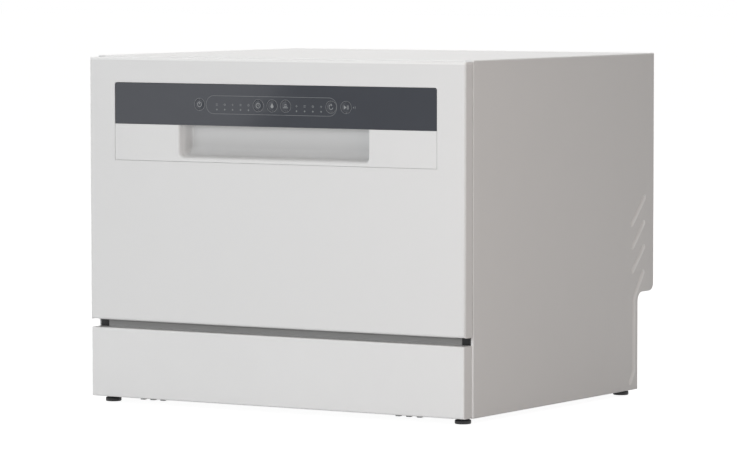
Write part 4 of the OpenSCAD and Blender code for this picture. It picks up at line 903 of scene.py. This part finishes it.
def keys():
    """Round caps, each with a collar behind the band, a stem and a plain mark."""
    back = FACE_Y + 4.3
    for key in KEYS:
        node = f"{key}_key"
        rear = span(node)[1].y
        x, z = KEY_AT[key].x, KEY_AT[key].z
        shape = Shape()
        shape.lathe([(BAND_Y, 0), (BAND_Y, KEY_R - 0.35), (BAND_Y + 0.1, KEY_R - 0.1),
                     (BAND_Y + 0.35, KEY_R), (back, KEY_R), (back, KEY_R + 1.5),
                     (back + 1.4, KEY_R + 1.5), (back + 1.4, 2.5), (rear - 0.3, 2.5),
                     (rear, 2.2), (rear, 0)], (x, 0, z), "y", 40)
        piece(f"{key}_cap", shape, node, overlay, [node])
        shape = Shape()
        if key in FILLED:
            ink_plate(shape, [(x + u, z + v) for u, v in FILLED[key]])
        if key in RINGS:
            ink_ring(shape, x, z, *RINGS[key])
        for path, width in STROKES[key]:
            ink_line(shape, [(x + u, z + v) for u, v in path], width)
        piece(f"{key}_mark", shape, node, ink_bright)


# ---- tub, gasket and door pan ----

def tub_section(shrink=0):
    """The tub's section as (X, Z), from the floor's left end over the ceiling to its right end."""
    half, low, high = TUB_HALF - shrink, TUB_Z + shrink, TUB_TOP - shrink
    r = TUB_CORNER - shrink
    return (arc(-half + r, low + r, r, 270, 180, 6) + arc(-half + r, high - r, r, 180, 90, 6)
            + arc(half - r, high - r, r, 90, 0, 6) + arc(half - r, low + r, r, 0, -90, 6))


def notched(out, notch, low, notch_top, top):
    """A flange's outline: it reaches out on both sides, but less so beside the hinges."""
    return [(-notch, low), (notch, low), (notch, notch_top), (out, notch_top), (out, top),
            (-out, top), (-out, notch_top), (-notch, notch_top)]


def tub():
    """The steel tub with its flange, its roller rails and its pressed ribs."""
    shape = Shape()
    inner = 10
    lines = [CAB_Y + 1, CAB_Y + 60, 0, TUB_BACK - inner]
    rows = shape.skin([[(x, y, z) for x, z in tub_section()] for y in lines], closed=False)
    for rest, deep in quarter(4)[1:]:
        section = tub_section(inner * deep)
        rows.append(shape.ring((x, TUB_BACK - inner * rest, z) for x, z in section))
        shape.bridge(rows[-2], rows[-1])
    shape.faces.append(tuple(rows[-1]))
    # the floor, with its openings
    flat = TUB_HALF - TUB_CORNER
    floor = [(-flat, lines[0]), (flat, lines[0]), (flat, lines[-1]), (-flat, lines[-1])]
    salt, rise = middle("salt_cap"), middle("overfill_float", "z")
    loops = [floor, hole(SUMP.x, SUMP.y, SUMP_R, 56), hole(salt.x, salt.y, 24.3, 36),
             hole(rise.x, rise.y, 8, 24)]
    shape.sheet(facing_up(TUB_Z), loops)
    piece("tub_shell", shape, "root", steel, ["tub"], thick=-0.9)

    # front flange round the mouth, and the float's collar
    shape = Shape()
    outline = notched(HALF - 13.4, HALF - 15.9, TUB_Z - 1, 128.6, FLANGE_TOP)
    strike = round_rect(-16, 16, TUB_TOP + 4, TUB_TOP + 18, 2, 3)
    shape.plate(outline, [tub_section(), strike[::-1]], facing_front(CAB_Y), SHEET, edge=0.25)
    shape.lathe([(TUB_Z - 0.5, 8), (TUB_Z + 5, 8), (TUB_Z + 5, 4.2), (TUB_Z - 0.5, 4.2),
                 (TUB_Z - 0.5, 8)], rise, "z", 28)
    piece("tub_flange", shape, "root", steel)

    # rails for the rollers
    shape = Shape()
    top = TUB_Z + 37.2
    inner_x = TUB_HALF - 21
    for sign in (-1, 1):
        section = bend([(TUB_HALF, 0, top), (inner_x, 0, top), (inner_x, 0, top - 10)], 2, 3)
        rings = []
        for y in (PAN_HIGH.y + 5, 0, TUB_BACK):
            outer = [(sign * p.x, y, p.z) for p in section]
            under = [(sign * (p.x + (0.9 if p.x < TUB_HALF - 1 else 0)), y, p.z - 0.9)
                     for p in reversed(section)]
            rings.append(outer + under)
        shape.loft(rings)
    piece("roller_rails", shape, "root", steel)

    # shallow ribs pressed into the back and the ceiling
    shape = Shape()
    for x in (-150, -75, 0, 75, 150):
        path = [(x, z) for z in (180, 240, 300, 360)]
        shape.pressed(facing_front(TUB_BACK), path, 6, -1.2, 4, 0.02)
    for y in (-140, -60, 20, 100):
        path = [(x, y) for x in (-180, -60, 60, 180)]
        shape.pressed(facing_up(TUB_TOP), path, 6, 1.2, 4, 0.02)
    piece("tub_ribs", shape, "root", steel)


def gasket():
    """A lipped rubber seal round the mouth of the tub."""
    low, high = span("door_gasket")
    loop = round_rect(-high.x, high.x, low.z, high.z, TUB_CORNER, 6)
    profile = [(0.1, 0), (0.1, 14), (1.0, 15), (2.4, 15), (3.2, 13.5), (3.4, 11), (2.6, 9.5),
               (1.4, 9.4), (1.2, 8), (2.6, 7.2), (4.6, 6.0), (5.6, 4.0), (5.4, 1.8), (4.2, 0.4),
               (2.6, 0)]
    shape = Shape()
    rings = [[(x, low.y + along, z) for x, z in inset(loop, inwards)]
             for inwards, along in profile]
    shape.skin([*rings, rings[0]])
    piece("door_seal", shape, "root", rubber, ["door_gasket"])


def door_pan():
    """The steel inside of the door: a flat rim and a raised pan."""
    shape = Shape()
    rim_y, face = DOOR_HIGH.y, PAN_HIGH.y
    half, low, top = TUB_HALF - 7, TUB_Z + 8, TUB_TOP - 10
    outline = notched(HALF - 1.8, HALF - 16.3, PAN_LOW.z, 124, PAN_HIGH.z)
    corner, fillet = 15, 4

    def pan_loop(shrink):
        return round_rect(-half + shrink, half - shrink, low + shrink, top - shrink,
                          corner - shrink, 6)

    shape.sheet(facing_back(rim_y), [outline, pan_loop(0)[::-1]])
    steps = [(0, rim_y), (0.2, rim_y + 2), (0.8, face - fillet)]
    steps += [(0.8 + fillet * deep, face - fillet * rest) for rest, deep in quarter(5)[1:]]
    shape.skin([[(x, y, z) for x, z in pan_loop(shrink)] for shrink, y in steps])
    box_low, box_high = span("dispenser_body")
    window = round_rect(box_low.x + 8, box_high.x - 8, box_low.z + 6, box_high.z - 6, 3, 3)
    shape.sheet(facing_back(face), [pan_loop(steps[-1][0]), window[::-1]])
    piece("door_pan", shape, "door", steel, ["door_liner"], thick=-0.9)

    # shallow pressed frame on the pan, right of the dispenser
    shape = Shape()
    path = bend([(30, 150), (200, 150), (200, 370), (30, 370)], 14, closed=True)
    profile = ((-3, -0.02), (-1.5, 0.5), (0, 0.8), (1.5, 0.5), (3, -0.02))
    shape.skin([[(x, face + rise, z) for x, z in inset(path, d)] for d, rise in profile])
    piece("door_pan_rib", shape, "door", steel)


def dispenser():
    """The detergent box with its ribbed lid, and the knob of the rinse agent's tank."""
    dress("dispenser_body", tray_plastic, 1.0)
    low, high = span("dispenser_lid")
    shape = Shape()
    shape.slab((low.x, low.y, low.z), (high.x, low.y + 3, high.z), 1.2, 3)
    for i in range(5):
        x = low.x + 8 + 3 * i
        shape.slab((x, low.y + 2.5, low.z + 8), (x + 1.4, high.y, high.z - 8), 0.5)
    piece("dispenser_slide", shape, "dispenser_lid", lid_plastic, ["dispenser_lid"])

    low, high = span("rinse_cap")
    centre = middle("rinse_cap", "y")
    face = high.y - 2
    shape = Shape()
    shape.lathe([(low.y, 0), (low.y, 9.3), (face - 3, 9.3), (face - 3, 12.3), (face - 0.6, 12.3),
                 (face, 11.6), (face, 0)], centre, "y", 40)
    shape.slab((low.x + 3.6, face - 0.5, centre.z - 1.5), (high.x - 3.6, high.y, centre.z + 1.5),
               0.7)
    shape.knurl(centre, 12.2, face - 2.7, face - 0.7, 0.28, 24, "y")
    piece("rinse_knob", shape, "rinse_cap", blue_plastic, ["rinse_cap"])


# ---- washing parts ----

def swollen(value, power=0.7):
    """A cosine or sine drawn out towards 1, which squares a round section off."""
    return math.copysign(abs(value) ** power, value)


def spray_arm():
    """A hollow blade, widest at its hub, with round ends and a nozzle row."""
    low, high = span("spray_arm")
    shape = Shape()
    top, bottom = high.z - 2, low.z
    length, tip = 172, 8
    rot = Matrix.Rotation(math.radians(20), 3, "Z")
    centre = Vector((SUMP.x, SUMP.y, 0))
    rings = []
    count = 24
    for i in range(count + 1):
        along = -1 + 2 * i / count
        reach = length * swollen(along, 0.8)
        wide = 20 - 9 * abs(reach) / length
        past = abs(reach) - length + tip
        if past > 0:
            wide *= math.sqrt(max(1 - (past / tip) ** 2, 0.02))
        tall = (top - bottom) / 2 * (1 if abs(along) < 0.96 else 0.6)
        rings.append([centre + rot @ Vector((reach, swollen(c) * wide, 0))
                      + Vector((0, 0, (top + bottom) / 2 + swollen(s) * tall))
                      for c, s in round_about(20)])
    shape.loft(rings)
    shape.lathe([(bottom, 10.1), (bottom, 17.6), (bottom + 1, 18), (high.z - 1.2, 18),
                 (high.z, 16.8), (high.z, 10.1), (bottom, 10.1)], centre, "z", 40)
    piece("spray_arm_blade", shape, "spray_arm", basket_plastic, ["spray_arm"])

    shape = Shape()
    for sign in (-1, 1):
        for i in range(4):
            at = rot @ Vector((sign * (42 + 36 * i), sign * (5 if i % 2 == 0 else -4), 0))
            shape.lathe([(top - 0.4, 0), (top - 0.4, 2.4), (top + 0.25, 2.4), (top + 0.4, 2.0),
                         (top + 0.1, 1.3), (top - 0.3, 0)], centre + at, "z", 20)
    piece("spray_nozzles", shape, "spray_arm", black_plastic)


def filters():
    """The perforated sheet over the sump, and the filter cup that locks into it."""
    high = span("filter_plate")[1]
    low, cup_top = (corner.z for corner in span("filter_cup"))
    cup = middle("filter_cup", "z")
    shape = Shape()
    shape.plate(circle(SUMP.x, SUMP.y, high.x, 64),
                [hole(SUMP.x, SUMP.y, 14.4, 32), hole(cup.x, cup.y, 24.4, 40)],
                facing_up(high.z), 1.1, edge=0.3)
    piece("filter_sheet", shape, "root", filter_mesh, ["filter_plate"])

    shape = Shape()
    rim = cup_top - 7
    shape.lathe([(low, 0), (low, 24), (rim, 24), (rim, 26.6), (rim + 1.2, 27), (rim + 2, 26.4),
                 (rim + 2, 23.4), (rim + 0.6, 22.5), (low + 2, 22.5), (low + 2, 0)], cup, "z", 48)
    grip = [(-23, 1), (-20, 6), (20, 6), (23, 1)]
    shape.tube(bend([(cup.x + x, cup.y, rim + z) for x, z in grip], 5), 1.4)
    shape.slab((cup.x - 20, cup.y - 2.2, rim + 0.8), (cup.x + 20, cup.y + 2.2, rim + 3), 0.8)
    shape.knurl(cup, 24, low + 2, rim - 1, 0.5, 20)
    piece("filter_cup_body", shape, "filter_cup", basket_plastic, ["filter_cup"])


def tub_fittings():
    """The salt tank's cap and the float that stops an overfill."""
    low, high = (corner.z for corner in span("salt_cap"))
    centre = middle("salt_cap", "z")
    top = high - 3
    shape = Shape()
    shape.lathe([(low, 0), (low, 19.8), (top - 6, 19.8), (top - 6, 26.8), (top - 5, 27),
                 (top - 0.8, 26.6), (top, 25.6), (top - 0.6, 24.4), (top - 0.6, 0)], centre, "z",
                48)
    shape.knurl(centre, 26.6, top - 5.5, top - 1, 0.35, 36)
    shape.slab((centre.x - 24, centre.y - 3, top - 1), (centre.x + 24, centre.y + 3, high), 1.2)
    piece("salt_cap_knurled", shape, "salt_cap", natural_plastic, ["salt_cap"])

    low, high = (corner.z for corner in span("overfill_float"))
    base = TUB_Z + 6
    shape = Shape()
    shape.lathe([(low, 0), (low, 5.6), (low + 2.8, 5.6), (low + 3, 3.95), (high - 4, 3.95),
                 (high - 4, 17.6), (base, 18.2), (base, 19.6), (base + 0.6, 20), (high - 5, 19.2),
                 (high - 2, 17.6), (high - 0.4, 13), (high, 8), (high, 0)],
                middle("overfill_float", "z"), "z", 44)
    piece("float_bell", shape, "overfill_float", natural_plastic,
          ["overfill_float"])


# ---- basket ----

WIRE = 1.9
SIDE_WIRE_X = 205
RIM_Z = TUB_Z + 146


def basket():
    """Wires of the basket, its roller carriers and the hoops that hold plates."""
    front, rear = BASKET_LOW.y + 1.8, BASKET_HIGH.y - 1.8
    half, floor, rim = SIDE_WIRE_X, TUB_Z + 62, RIM_Z
    shape = Shape()
    for i in range(1, 13):
        x = -half + 2 * half * i / 13
        wire = [(x, front, rim), (x, front, floor), (x, rear, floor), (x, rear, rim)]
        shape.tube(bend(wire, 9), WIRE, 8)
    low = floor - 0.6
    for j in range(1, 10):
        y = front + (rear - front) * j / 10
        wire = [(-half, y, rim), (-half, y, low), (half, y, low), (half, y, rim)]
        shape.tube(bend(wire, 9), WIRE, 8)
    for z, thick in ((rim, 1.8), ((floor + rim) / 2, WIRE), (floor + 3, WIRE)):
        loop = [(-half, front, z), (half, front, z), (half, rear, z), (-half, rear, z)]
        shape.tube(bend(loop, 12, closed=True), thick, 8, closed=True)
    piece("basket_wires", shape, "basket", coated_wire, ["basket_walls"])

    # roller carriers under the side walls
    shape = Shape()
    pin = [(0, 0), (0, 2.9), (15.2, 2.9), (15.6, 2.5), (15.6, 0)]
    for sign in (-1, 1):
        for end in ("front", "rear"):
            roll_low, roll_high = span(f"{end}_rollers")
            y, z = (roll_low.y + roll_high.y) / 2, (roll_low.z + roll_high.z) / 2
            x0, x1 = sorted((sign * 206, sign * 209.4))
            shape.slab((x0, y - 6, z - 5), (x1, y + 6, floor + 2), 0.8)
            shape.lathe([(sign * d, r) for d, r in pin][::sign], (sign * 209, y, z), "x", 20)
    piece("roller_carriers", shape, "basket", basket_plastic, ["basket_floor"])

    shape = Shape()
    base, top = floor + 2.4, span("plate_tines")[1].z - 1.7
    gap = 34.5
    for row in (front + 3 * gap, front + 7 * gap):
        for i in range(7):
            x = -80 + 26 * i
            hoop = [(x, row, base), (x, row, top), (x, row + gap, top), (x, row + gap, base)]
            shape.tube(bend(hoop, 16, 8), 1.7)
    piece("tine_hoops", shape, "basket", coated_wire, ["plate_tines"])


def cutlery():
    """An open-worked basket of six cells with a handle."""
    low, high = span("cutlery_basket")
    shape = Shape()
    x0, x1, y0, y1 = low.x, high.x, low.y, high.y
    z0, z1 = low.z, high.z - 12
    t = 1.5
    wide, long = (x1 - x0 - 3 * t) / 2, (y1 - y0 - 4 * t) / 3
    xs = [x0 + i * (wide + t) for i in range(3)]
    ys = [y0 + i * (long + t) for i in range(4)]
    # corner posts, and bands round the cells
    for x in xs:
        for y in ys:
            shape.slab((x, y, z0), (x + t, y + t, z1), 0.4)
    half_way = (z0 + z1) / 2
    for lo, hi in ((z0, z0 + 12), (half_way - 4, half_way + 4), (z1 - 9, z1)):
        for x in xs:
            shape.slab((x + 0.05, y0, lo), (x + t - 0.05, y1, hi), 0.35)
        for y in ys:
            shape.slab((x0, y + 0.05, lo), (x1, y + t - 0.05, hi), 0.35)
    # slats between the bands
    for x in xs:
        for cell in ys[:-1]:
            for k in (1, 2, 3):
                y = cell + t + long * k / 4 - 0.9
                shape.slab((x + 0.1, y, z0 + 4), (x + t - 0.1, y + 1.8, z1 - 3), 0.35)
    for y in ys:
        for cell in xs[:-1]:
            for k in (1, 2, 3, 4):
                x = cell + t + wide * k / 5 - 0.9
                shape.slab((x, y + 0.1, z0 + 4), (x + 1.8, y + t - 0.1, z1 - 3), 0.35)
    # floor slats
    for k in range(1, 12):
        y = y0 + (y1 - y0) * k / 12
        shape.slab((x0, y - 1.3, z0), (x1, y + 1.3, z0 + 1.4), 0.4)
    for k in range(1, 6):
        x = x0 + (x1 - x0) * k / 6
        shape.slab((x - 1.3, y0, z0 + 0.1), (x + 1.3, y1, z0 + 1.5), 0.4)
    middle_x = (x0 + x1) / 2
    grip = [(y0 + 15, z1 - 6), (y0 + 15, z1 + 10.6), (y1 - 15, z1 + 10.6), (y1 - 15, z1 - 6)]
    shape.tube(bend([(middle_x, y, z) for y, z in grip], 7, 6), 1.4)
    piece("cutlery_slats", shape, "cutlery_basket", basket_plastic,
          ["cutlery_basket"])


def cup_shelf():
    """A wire shelf that folds up about the basket's left rim."""
    low, high = span("cup_shelf")
    x, z = -SIDE_WIRE_X, RIM_Z
    y0, y1 = low.y + 8, high.y - 8
    reach = 97
    shape = Shape()
    shape.tube(bend([(x, y0, z), (x + reach, y0, z), (x + reach, y1, z), (x, y1, z)], 10), 1.5)
    for i in range(1, 5):
        shape.tube([(x + reach * i / 5, y, z) for y in (y0, y1)], 1.4, 8)
    for i in range(1, 4):
        y = y0 + (y1 - y0) * i / 4
        shape.tube([(x + reach * 0.2, y, z + 0.1), (x + reach, y, z + 0.1)], 1.3, 8)
    for y in (y0, y1):
        shape.lathe([(-8, 2), (-8, 4.0), (-7.6, 4.3), (7.6, 4.3), (8, 4.0), (8, 2), (-8, 2)],
                    (x, y, z), "y", 24)
    piece("cup_shelf_wires", shape, "cup_shelf", basket_plastic, ["cup_shelf"])


# ---- stage, lamps and camera ----

def looked_at(tree):
    """1 for rays from the camera, also over a mirror or through a window, and 0 for others."""
    path = tree.nodes.new("ShaderNodeLightPath")
    seen = path.outputs["Is Camera Ray"]
    for kind in ("Is Glossy Ray", "Is Transmission Ray"):
        node = tree.nodes.new("ShaderNodeMath")
        node.operation = "MAXIMUM"
        tree.links.new(seen, node.inputs[0])
        tree.links.new(path.outputs[kind], node.inputs[1])
        seen = node.outputs[0]
    return seen


def backdrop():
    """A large pale floor; the camera and mirrors see it, and the space round it, as white."""
    side, below = 60, -0.0004       # metres
    bpy.ops.mesh.primitive_plane_add(size=side, location=(0, 0, below))
    floor = bpy.context.object
    floor.name = "floor"
    g = Graph("pale_floor")
    g.finish(Roughness=0.9, Specular_IOR_Level=0.1,
             Base_Color=g.mix(g.noise(3), (0.50, 0.50, 0.50, 1), (0.52, 0.52, 0.52, 1)))
    pale = g.add("ShaderNodeBsdfDiffuse", {"Color": (1, 1, 1, 1)})
    glow = g.add("ShaderNodeEmission", {"Color": (1, 1, 1, 1), "Strength": 1.47})
    soft = g.add("ShaderNodeMixShader", {0: 0.64, 1: pale.outputs[0], 2: glow.outputs[0]})
    g.end_with(g.add("ShaderNodeMixShader", {0: looked_at(g.tree), 1: g.shader.outputs[0],
                                             2: soft.outputs[0]}))
    floor.data.materials.append(g.material)


def world():
    """A dim warm surround that the camera and mirrors see as white."""
    sky = bpy.data.worlds.new("studio")
    sky.use_nodes = True
    bpy.context.scene.world = sky
    tree = sky.node_tree
    tree.nodes.clear()
    mix = tree.nodes.new("ShaderNodeMixShader")
    tree.links.new(looked_at(tree), mix.inputs[0])
    lights = (((1.0, 0.935, 0.87, 1), 0.187), ((1, 1, 1, 1), 1.0))
    for slot, (color, strength) in enumerate(lights, 1):
        light = tree.nodes.new("ShaderNodeBackground")
        light.inputs["Color"].default_value = color
        light.inputs["Strength"].default_value = strength
        tree.links.new(light.outputs[0], mix.inputs[slot])
    out = tree.nodes.new("ShaderNodeOutputWorld")
    tree.links.new(mix.outputs[0], out.inputs["Surface"])


def lamp(name, at, aim, size, watts, color=(1, 1, 1)):
    """A soft rectangular lamp; at and aim are metres."""
    data = bpy.data.lights.new(name, "AREA")
    data.shape = "RECTANGLE"
    data.size, data.size_y = size
    data.energy = watts
    data.color = color
    obj = bpy.data.objects.new(name, data)
    obj.location = at
    obj.rotation_euler = (Vector(aim) - Vector(at)).to_track_quat("-Z", "Y").to_euler()
    bpy.context.scene.collection.objects.link(obj)
    obj.visible_camera = False
    obj.visible_glossy = False


def dark_card():
    """A grey card in front of the machine that only mirrors see: it dims the band's right half."""
    corners = [(-2.757, 0.02), (-1.4, 0.02), (-1.4, 0.9), (-2.119, 0.9)]     # metres
    y = (FACE_Y - 4000) * MM
    mesh = bpy.data.meshes.new("dark_card")
    mesh.from_pydata([(x, y, z) for x, z in corners], [], [(0, 1, 2, 3)])
    card = bpy.data.objects.new("dark_card", mesh)
    bpy.context.scene.collection.objects.link(card)
    g = Graph("dark_card")
    tone = g.mix(g.noise(2), (0.25, 0.255, 0.245, 1), (0.28, 0.285, 0.275, 1))
    g.end_with(g.add("ShaderNodeEmission", {"Color": tone, "Strength": 1.0}))
    mesh.materials.append(g.material)
    card.visible_camera = card.visible_diffuse = card.visible_shadow = False
    card.visible_transmission = card.visible_volume_scatter = False


def camera():
    """The photograph's view: a long lens from the right of the front, almost level."""
    azimuth, elevation, roll = math.radians(31.747), math.radians(3.712), math.radians(-0.05)
    target, distance = Vector((-15.9, 0, 209.3)), 5458
    back = Vector((math.sin(azimuth) * math.cos(elevation),
                   -math.cos(azimuth) * math.cos(elevation), math.sin(elevation)))
    right = Vector((0, 0, 1)).cross(back).normalized()
    up = back.cross(right)
    right, up = (right * math.cos(roll) + up * math.sin(roll),
                 up * math.cos(roll) - right * math.sin(roll))
    data = bpy.data.cameras.new("view")
    data.sensor_width = 36
    data.lens = 208.193
    data.clip_end = 200             # metres
    obj = bpy.data.objects.new("view", data)
    turn = Matrix((right, up, back)).transposed().to_4x4()
    obj.matrix_world = Matrix.Translation((target + back * distance) * MM) @ turn
    bpy.context.scene.collection.objects.link(obj)
    bpy.context.scene.camera = obj


# ---- the whole ----

DAYLIGHT = (0.945, 0.97, 0.988)

camera()
world()
backdrop()
dark_card()
lamp("key", (-0.8, -3.8, 0.9), (0, -0.25, 0.25), (3.0, 2.4), 47.5, DAYLIGHT)
lamp("graze", (0.9, -4.6, 0.8), (0.1, -0.1, 0.2), (1.0, 1.0), 52, DAYLIGHT)
lamp("top", (-0.3, 0.2, 3.0), (0, 0, 0.4), (2.6, 2.6), 46)
lamp("fill", (1.3, -0.8, 0.5), (0.27, -0.1, 0.2), (0.8, 0.8), 3.1, (1, 0.88, 0.82))
lamp("back", (-2.6, 2.8, 1.4), (-0.1, 0.1, 0.2), (2.0, 2.0), 24)

side_panel("right", 1)
side_panel("left", -1)
top_cover()
rear_ribs()
for end in ("front", "rear"):
    for side in ("left", "right"):
        foot(f"foot_{end}_{side}")
connectors()
kick_plate()
door_trim()
console()
band()
band_prints()
keys()
tub()
gasket()
door_pan()
dispenser()
spray_arm()
filters()
tub_fittings()
basket()
cutlery()
cup_shelf()

# the CAD nodes that are shown as they are: their looks, and the radius of their edges
FINISHES = {
    "door_panel": (door_paint_rim_highlight, 0.12), "front_rail": (rail_paint, 0.3),
    "hinge_brackets": (black_paint, 0.4), "rear_cover": (zinc, 0.2),
    "base_tray": (tray_plastic, 0.4), "case_screws": (zinc, 0.15), "door_springs": (zinc, 0),
    "hinge_arms": (zinc, 0.3), "door_strike": (zinc, 0.3), "latch_lever": (zinc, 0.3),
    "display_board": (board, 0), "power_board": (board, 0), "sump": (tray_plastic, 0.4),
    "spray_manifold": (tray_plastic, 0.4), "salt_tank": (natural_plastic, 0.5),
    "circulation_pump": (black_plastic, 0.5), "drain_pump": (natural_plastic, 0.5),
    "water_heater": (steel, 0.3), "air_chamber": (natural_plastic, 0.8),
    "inner_hoses": (rubber, 0), "door_lock": (black_plastic, 0.4),
    "pump_impeller": (natural_plastic, 0.2), "drain_impeller": (blue_plastic, 0.2),
    "front_rollers": (basket_plastic, 0.6), "rear_rollers": (basket_plastic, 0.6),
}
for name, (look, edge) in FINISHES.items():
    dress(name, look, edge)

scene = bpy.context.scene
scene.view_settings.view_transform = "Standard"
